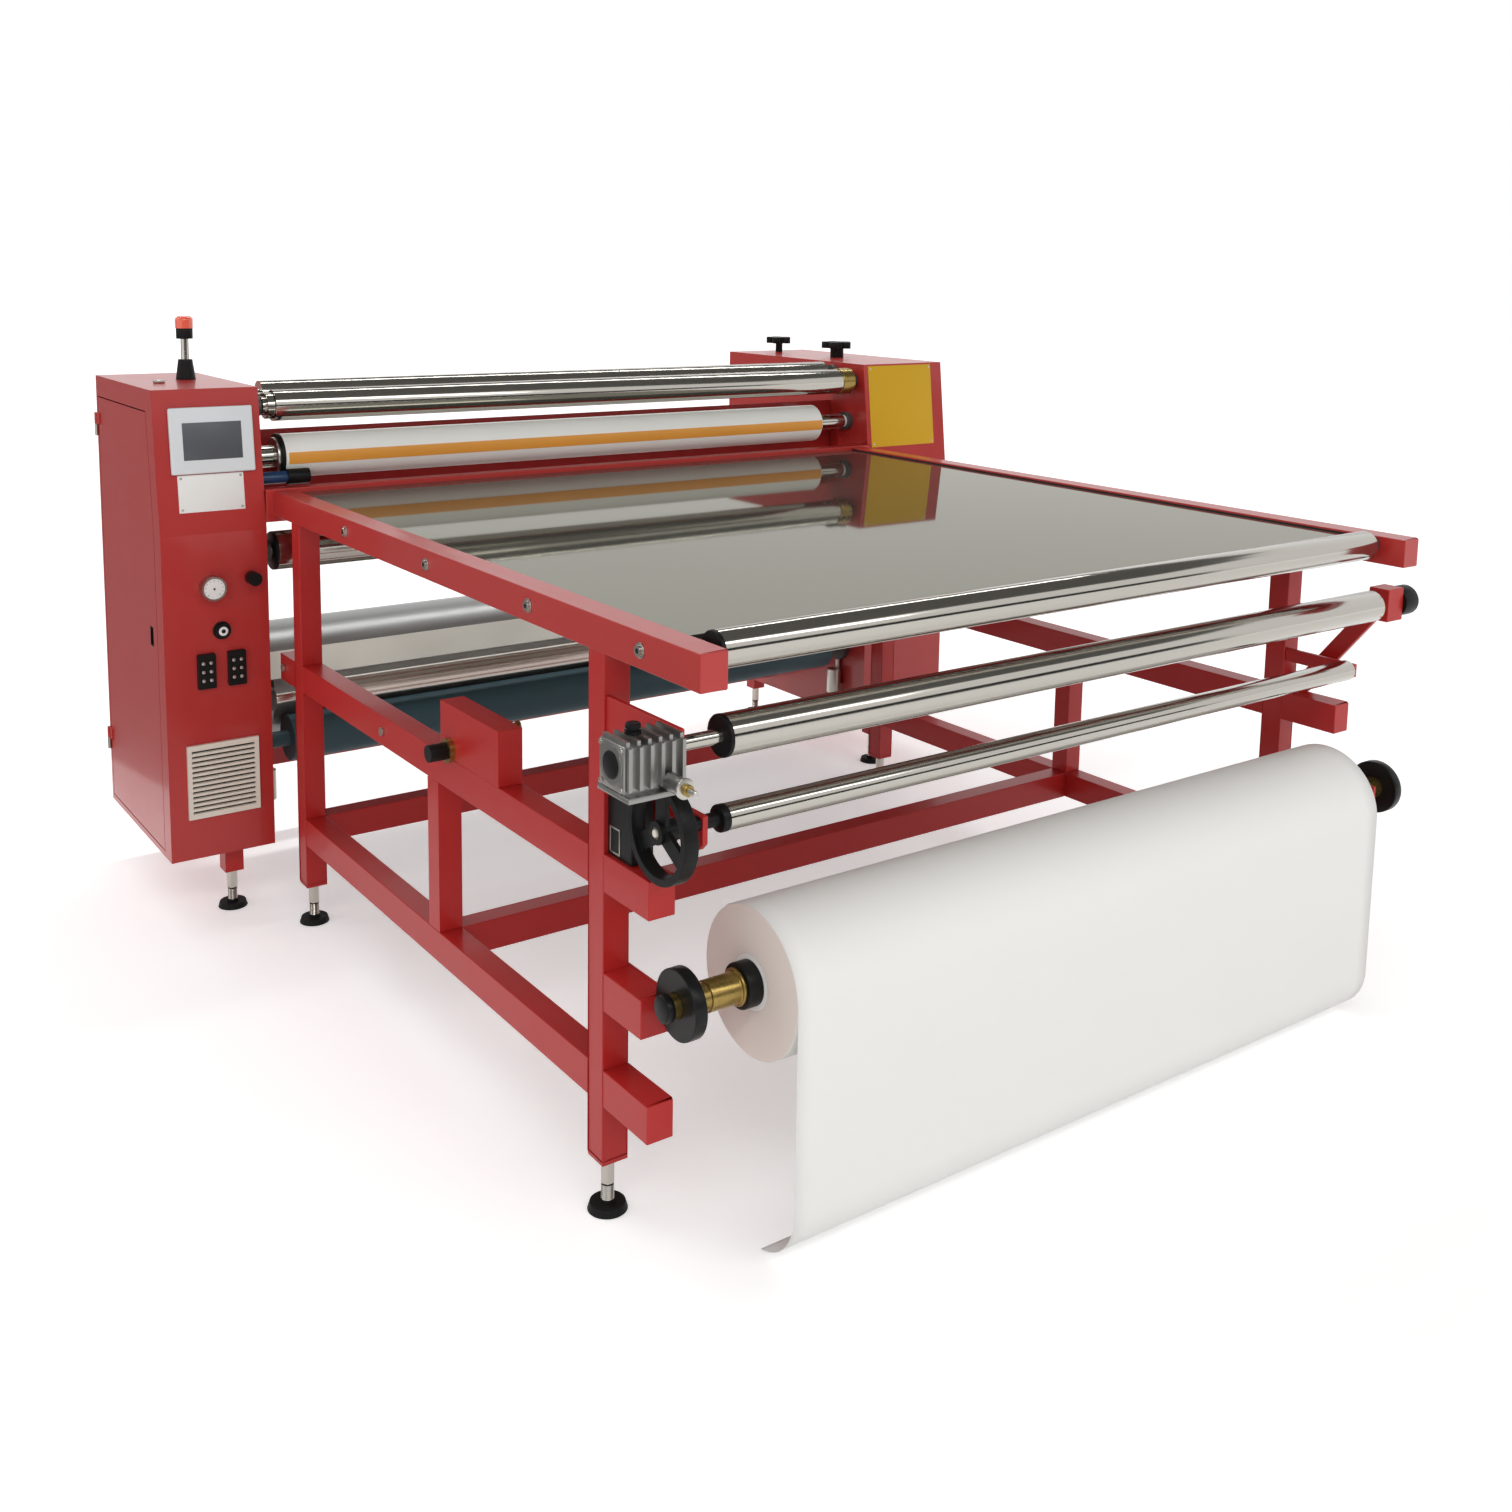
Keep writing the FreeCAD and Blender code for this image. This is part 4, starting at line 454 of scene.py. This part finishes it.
# Beacon pole and top bolt
lathe("beacon_pole_sleeve", "z", at(-105, 1890, 1340.5), [(0, 9.6), (50.6, 9.6)], CHROME)
lathe("cabinet_top_bolt", "z", at(-195, 1800, 1290), rounded(8, 14, 2), ZINC, sides=32)

# Sleeves and end pieces on the press rollers
TOP_COLLAR = [(0, 38.5), (1.5, 40), (44, 40), (46, 38.5)]
TOP_CAP = [(0, 20), (1, 23), (9, 23), (9.5, 31), (10.5, 32), (28, 32)]
AIR_JOURNAL_RIGHT = [(0, 24), (92, 24), (93, 20), (104, 20), (105, 19)]
AIR_JOURNAL_LEFT = [(0, 26), (1, 27.5), (36, 27.5)]
UNDER_CAP = [(0, 42), (1.5, 46), (3, 47.4), (8, 47.4)]
lathe("top_roller_collar_right", "x", at(1804, *TOP_ROLLER), TOP_COLLAR, BRASS, TOP_BODY)
lathe("top_roller_cap_left", "x", at(1, *TOP_ROLLER), TOP_CAP, CHROME, TOP_BODY)
lathe("air_shaft_ring", "x", at(44, *AIR_SHAFT), rounded(9, 56.4, 2), BLACK, AIR_BODY, 64)
lathe("air_shaft_disc", "x", at(36, *AIR_SHAFT), rounded(9, 47, 2), ZINC, AIR_BODY, 64)
lathe("air_shaft_journal_right", "x", at(1741, *AIR_SHAFT), AIR_JOURNAL_RIGHT, CHROME, AIR_BODY)
lathe("air_shaft_journal_left", "x", at(0, *AIR_SHAFT), AIR_JOURNAL_LEFT, CHROME, AIR_BODY)
lathe("under_roller_cap", "x", at(4, *UNDER_ROLLER), UNDER_CAP, BLACK, UNDER_BODY, 64)

# Strip on the air shaft: ends along x, radii, and angles in degrees
STRIP_ENDS = (60, 1725)
STRIP_RADII = (55.1, 56.0)
STRIP_FROM = 166
STRIP_SPAN = 30
STRIP_STEPS = 10


def strip_on_shaft():
    """Coloured strip along the front of the pale air shaft."""
    bm = bmesh.new()
    rows = []
    for i in range(STRIP_STEPS + 1):
        angle = math.radians(STRIP_FROM + STRIP_SPAN * i / STRIP_STEPS)
        row = []
        for x in STRIP_ENDS:
            for radius in STRIP_RADII:
                y = AIR_SHAFT[0] + radius * math.cos(angle)
                z = AIR_SHAFT[1] + radius * math.sin(angle)
                row.append(bm.verts.new(at(x, y, z)))
        rows.append(row)
    for a, b in zip(rows, rows[1:]):
        bm.faces.new((a[1], a[3], b[3], b[1]))
        bm.faces.new((a[0], b[0], b[2], a[2]))
        bm.faces.new((a[0], a[1], b[1], b[0]))
        bm.faces.new((a[3], a[2], b[2], b[3]))
    bm.faces.new((rows[0][0], rows[0][2], rows[0][3], rows[0][1]))
    bm.faces.new((rows[-1][0], rows[-1][1], rows[-1][3], rows[-1][2]))
    finish_piece("air_shaft_strip", bm, ORANGE, AIR_BODY)


strip_on_shaft()

# Gearbox, its base, cap, plug and worm shaft
GEARBOX_CAP = [(0, 18), (1, 21), (3, 22)]
PLUG = [(0, 13), (5, 13), (6, 9), (9, 9), (10, 12), (15, 12), (17, 10)]
WORM = at(-24, -235, 841)
WORM_BOSS = [(0, 12), (1, 13), (36.5, 14.5)]
WORM_STUB = [(0, 8), (1, 9), (9.2, 9)]
WORM_TIP = [(0, 3), (1, 4.4), (18.2, 5.2)]
SCREWS = ((-222, 838), (-164, 838), (-222, 898), (-164, 898))
lathe("gearbox_cap", "x", at(-104.6, -193, 869), GEARBOX_CAP, BLACK)
block("gearbox_base", -98, 4, -238, -146, 819, 828.3, ALUMINIUM, bevel=1.5)
block("gearbox_flange", -101, -95.8, -228, -158, 832, 904, ALUMINIUM, bevel=2)
lathe("gearbox_plug", "z", at(-62, -190, 909.5), PLUG, BLACK, sides=32)
lathe("worm_boss", "y", WORM + Vector((0, -0.036, 0)), WORM_BOSS, ALUMINIUM, sides=40)
lathe("worm_ring", "y", WORM + Vector((0, -0.042, 0)), rounded(6.2, 16, 1.2), ZINC, sides=40)
lathe("worm_stub", "y", WORM + Vector((0, -0.051, 0)), WORM_STUB, BRASS, sides=32)
lathe("worm_tip", "y", WORM + Vector((0, -0.069, 0)), WORM_TIP, ZINC, sides=32)
for i, (y, z) in enumerate(SCREWS):
    lathe(f"gearbox_screw_{i}", "x", at(-104, y, z), rounded(4, 4.2, 0.8), ZINC, sides=16)

# Panel frame on the motor box
block("motor_panel_low", 6.6, 8.2, -40, -8, 652, 655, ZINC, bevel=0.4)
block("motor_panel_top", 6.6, 8.2, -40, -8, 694, 697, ZINC, bevel=0.4)
block("motor_panel_front", 6.6, 8.2, -40, -37, 654, 695, ZINC, bevel=0.4)
block("motor_panel_back", 6.6, 8.2, -11, -8, 654, 695, ZINC, bevel=0.4)

# Handwheel hub, sleeves and dark end caps of the front rollers
HUB_INSERT = [(0, 5), (0.6, 6), (2.8, 6)]
OUTER_SLEEVE = [(0, 12), (44.6, 12)]
INNER_SLEEVE = [(0, 12), (27, 12)]
TENSION_CAP = [(0, 18), (1, 21.5), (3, 22.6), (14, 22.6)]
FEED_CAP = [(0, 31), (1, 33.6), (2.5, 34.6), (7, 34.6)]
TABLE_CAP = [(0, 28), (1, 30.6), (2.5, 31.5), (7, 31.5)]
lathe("handwheel_insert", "x", at(-4.5, *TENSION_ROLLER), HUB_INSERT, CREAM, TENSION_BODY, 24)
lathe("tension_sleeve_outer", "x", at(32, *TENSION_ROLLER), OUTER_SLEEVE, BLACK, TENSION_BODY)
lathe("tension_sleeve_inner", "x", at(87.4, *TENSION_ROLLER), INNER_SLEEVE, BLACK, TENSION_BODY)
lathe("tension_cap", "x", at(113, *TENSION_ROLLER), TENSION_CAP, BLACK, TENSION_BODY)
lathe("feed_roller_cap", "x", at(92, *FEED_ROLLER), FEED_CAP, BLACK, FEED_BODY)
lathe("table_roller_cap", "x", at(72, *TABLE_ROLLER), TABLE_CAP, BLACK, TABLE_BODY)

# Brass sleeves and the black tip on the roll shaft
TIP_CAP = [(0, 17), (1, 20), (2.4, 21.5)]
TIP_SLEEVE = [(0, 20.6), (13, 20.6)]
LEFT_SLEEVE = [(0, 22), (1, 23.5), (22.2, 23.5)]
RIGHT_SLEEVE = [(0, 22), (1, 24), (43, 24)]
lathe("shaft_tip_cap", "x", at(-1.6, *PAPER_ROLL), TIP_CAP, BLACK, ROLL_BODY)
lathe("shaft_sleeve_tip", "x", at(13.6, *PAPER_ROLL), TIP_SLEEVE, BRASS, ROLL_BODY)
lathe("shaft_sleeve_left", "x", at(58.8, *PAPER_ROLL), LEFT_SLEEVE, BRASS, ROLL_BODY)
lathe("shaft_sleeve_right", "x", at(1859, *PAPER_ROLL), RIGHT_SLEEVE, BRASS, ROLL_BODY)

# Brass bolt on the inner side of the clamp block
CLAMP_BOLT = [(0, 13), (4, 13), (5, 8), (14, 8), (15, 11), (20, 11), (21, 9)]
lathe("clamp_bolt", "x", at(49.8, 430, 738), CLAMP_BOLT, BRASS, sides=32)

# Washers under the rail bolts, and painted shade: dark discs for the hollow sockets in their heads
BOLT_Z = 1010
BOLT_ROWS = (-109, 259, 684, 1107)
BOLT_SIDES = (("left", -1.6, -6.3), ("right", 1850, 1855.9))
WASHER = rounded(1.6, 13, 0.5)
BOLT_SOCKET_SHADE = [(0, 4.6), (0.2, 4.8), (0.4, 4.6)]
for i, y in enumerate(BOLT_ROWS):
    for side, washer_x, socket_x in BOLT_SIDES:
        lathe(f"rail_washer_{side}_{i}", "x", at(washer_x, y, BOLT_Z), WASHER, ZINC, sides=32)
        lathe(f"rail_socket_shade_{side}_{i}", "x", at(socket_x, y, BOLT_Z), BOLT_SOCKET_SHADE, DARK, sides=6)

# Threads of the levelling feet, and painted shade: a dark ring for the shaded gap under their lock nuts
THREAD_TURNS = 8
THREAD_PITCH = 3.5
THREAD_ROOT = 10.2
THREAD_CREST = 11.4
THREAD = []
for i in range(THREAD_TURNS):
    THREAD.append((THREAD_PITCH * i, THREAD_ROOT))
    THREAD.append((THREAD_PITCH * i + THREAD_PITCH / 2, THREAD_CREST))
THREAD.append((THREAD_PITCH * THREAD_TURNS, THREAD_ROOT))
NUT_GAP_SHADE = [(0, 10.4), (0.4, 11.2), (3.6, 11.2), (4, 10.4)]
TABLE_FEET = ((25, 25), (25, 1420), (1825, 25), (1825, 1420))
CABINET_FEET = ((-110, 1620), (-110, 2050), (1960, 1620), (1960, 2260))
for i, (x, y) in enumerate(TABLE_FEET + CABINET_FEET):
    lathe(f"foot_thread_{i}", "z", at(x, y, 17.2), THREAD, CHROME, sides=32)
    lathe(f"foot_gap_shade_{i}", "z", at(x, y, 45), NUT_GAP_SHADE, DARK, sides=32)

# Dark seal round the table plate
block("plate_seal_left", 50, 52.2, -148, 1558, 1028, 1035.5, DARK)
block("plate_seal_right", 1797.8, 1800, -148, 1558, 1028, 1035.5, DARK)
block("plate_seal_front", 52, 1798, -150, -147.6, 1026, 1033.6, DARK)

# Hanging paper, with angles in degrees
SHEET_LEFT = 171
SHEET_WIDTH = 1549
SHEET_COLUMNS = 40
SHEET_RADIUS = 127.8
WRAP_FROM = 55
WRAP_SPAN = 125
WRAP_STEPS = 32
DROP = 342
DROP_STEPS = 10
CURL_RADIUS = 104
CURL_SPAN = 80
CURL_STEPS = 16
SHEET_THICKNESS = 0.4


def paper_sheet():
    """The web: comes over the roll, hangs straight and curls under at its end."""
    roll_y, roll_z = PAPER_ROLL
    path = []
    for i in range(WRAP_STEPS + 1):
        angle = math.radians(WRAP_FROM + WRAP_SPAN * i / WRAP_STEPS)
        path.append((roll_y + SHEET_RADIUS * math.cos(angle), roll_z + SHEET_RADIUS * math.sin(angle)))
    for i in range(1, DROP_STEPS):
        path.append((roll_y - SHEET_RADIUS, roll_z - DROP * i / DROP_STEPS))
    curl_y = roll_y - SHEET_RADIUS + CURL_RADIUS
    curl_z = roll_z - DROP
    for i in range(CURL_STEPS + 1):
        angle = math.radians(180 + CURL_SPAN * i / CURL_STEPS)
        path.append((curl_y + CURL_RADIUS * math.cos(angle), curl_z + CURL_RADIUS * math.sin(angle)))
    bm = bmesh.new()
    grid = []
    for y, z in path:
        row = []
        for i in range(SHEET_COLUMNS + 1):
            row.append(bm.verts.new(at(SHEET_LEFT + SHEET_WIDTH * i / SHEET_COLUMNS, y, z)))
        grid.append(row)
    for a, b in zip(grid, grid[1:]):
        for i in range(SHEET_COLUMNS):
            bm.faces.new((a[i], b[i], b[i + 1], a[i + 1]))
    sheet = finish_piece("hanging_paper", bm, PAPER, "machine")
    thick = sheet.modifiers.new("thickness", "SOLIDIFY")
    thick.thickness = SHEET_THICKNESS / 1000
    thick.offset = 0
    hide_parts("paper_web")


paper_sheet()

# Studio: pale floor, soft light, photographed view
bpy.ops.mesh.primitive_plane_add(size=60, location=(0, 0, -0.001))
floor = bpy.context.object
floor.name = "studio_floor"
FLOOR = surface("pale_floor", lin(250, 250, 250), 0.9, spread=0.004, bump=0.0, shine=0.0)
FLOOR_SHADER = FLOOR.node_tree.nodes[SHADER]
FLOOR_SHADER.inputs["Emission Color"].default_value = (1, 1, 1, 1)
floor.data.materials.append(FLOOR)

world = bpy.data.worlds.new("studio")
bpy.context.scene.world = world
world.use_nodes = True
background = world.node_tree.nodes["Background"]
background.inputs["Color"].default_value = (1, 1, 1, 1)


def seen_level(tree, plain, shown, target):
    """A value of shown for rays that see the background, straight or in metal and glass, else plain."""
    rays = tree.nodes.new("ShaderNodeLightPath")
    mirrored = tree.nodes.new("ShaderNodeMath")
    mirrored.operation = "MAXIMUM"
    link(tree, rays.outputs["Is Camera Ray"], mirrored.inputs[0])
    link(tree, rays.outputs["Is Glossy Ray"], mirrored.inputs[1])
    seen = tree.nodes.new("ShaderNodeMath")
    seen.operation = "MAXIMUM"
    link(tree, mirrored.outputs["Value"], seen.inputs[0])
    link(tree, rays.outputs["Is Transmission Ray"], seen.inputs[1])
    level = tree.nodes.new("ShaderNodeMapRange")
    level.inputs["To Min"].default_value = plain
    level.inputs["To Max"].default_value = shown
    link(tree, seen.outputs["Value"], level.inputs["Value"])
    link(tree, level.outputs["Result"], target)


WORLD_LIGHT = 0.96
WORLD_SEEN = 1.0
FLOOR_LIGHT = 0.0
FLOOR_SEEN = 0.36
seen_level(world.node_tree, WORLD_LIGHT, WORLD_SEEN, background.inputs["Strength"])
seen_level(FLOOR.node_tree, FLOOR_LIGHT, FLOOR_SEEN, FLOOR_SHADER.inputs["Emission Strength"])


def area_light(name, where, aim, size, power):
    data = bpy.data.lights.new(name, "AREA")
    data.shape = "RECTANGLE"
    data.size, data.size_y = size
    data.energy = power
    lamp = bpy.data.objects.new(name, data)
    lamp.location = where
    lamp.rotation_euler = (Vector(aim) - Vector(where)).to_track_quat("-Z", "Y").to_euler()
    bpy.context.scene.collection.objects.link(lamp)


area_light("key", (-1.6, -4.6, 4.6), (0, -0.4, 0.7), (9.0, 0.9), 108)
area_light("tube", (0, 2.4, 5.9), (0, 2.4, 0), (12.0, 0.35), 215)


def flag(name, corners, material, shades=False):
    """Studio panel seen only in polished and painted surfaces; it takes light away if it shades."""
    mesh = bpy.data.meshes.new(name)
    mesh.from_pydata(corners, [], [(0, 1, 2, 3)])
    mesh.materials.append(material)
    panel = bpy.data.objects.new(name, mesh)
    bpy.context.scene.collection.objects.link(panel)
    panel.visible_camera = False
    panel.visible_diffuse = shades
    panel.visible_shadow = shades


FLAG = surface("dark_flag", lin(26, 27, 28), 0.8)
MAT = surface("grey_mat", lin(138, 138, 138), 0.9, shine=0.1)
CEILING = surface("grey_ceiling", lin(112, 112, 110), 0.9, shine=0.1)
flag("flag_front", [(-9, -7, 0.6), (9, -7, 0.6), (9, -7, 2.2), (-9, -7, 2.2)], FLAG)
flag("ceiling", [(-9, -6, 6.2), (9, -6, 6.2), (9, 6, 6.2), (-9, 6, 6.2)], CEILING, True)
flag("mat_left", [(-1.9, -0.8, 0.002), (-0.62, 6.5, 0.002), (-9, 6.5, 0.002), (-9, -0.8, 0.002)], MAT)
flag("flag_left", [(-0.9, 6.5, 0.003), (-9, 6.5, 0.003), (-9, 6.5, 2.6), (-0.9, 6.5, 2.6)], MAT)

# Camera of the photo: its size, focal length and middle in pixels
PHOTO = 1512
FOCAL = 1559.07
CENTRE_X = 734.67
CENTRE_Y = 472.90
SENSOR = 36
camera_data = bpy.data.cameras.new("photo_view")
camera = bpy.data.objects.new("photo_view", camera_data)
bpy.context.scene.collection.objects.link(camera)
right = Vector((0.81663, -0.57698, 0.01439))
up = Vector((0.06742, 0.12013, 0.99047))
ahead = Vector((0.57321, 0.80788, -0.13700))
place = at(-1242.3, -2105.6, 1613.6)
camera.matrix_world = Matrix((
    (right.x, up.x, -ahead.x, place.x),
    (right.y, up.y, -ahead.y, place.y),
    (right.z, up.z, -ahead.z, place.z),
    (0, 0, 0, 1),
))
camera_data.sensor_width = SENSOR
camera_data.lens = SENSOR * FOCAL / PHOTO
camera_data.shift_x = (PHOTO / 2 - CENTRE_X) / PHOTO
camera_data.shift_y = (CENTRE_Y - PHOTO / 2) / PHOTO
bpy.context.scene.camera = camera
bpy.context.scene.view_settings.view_transform = "Standard"
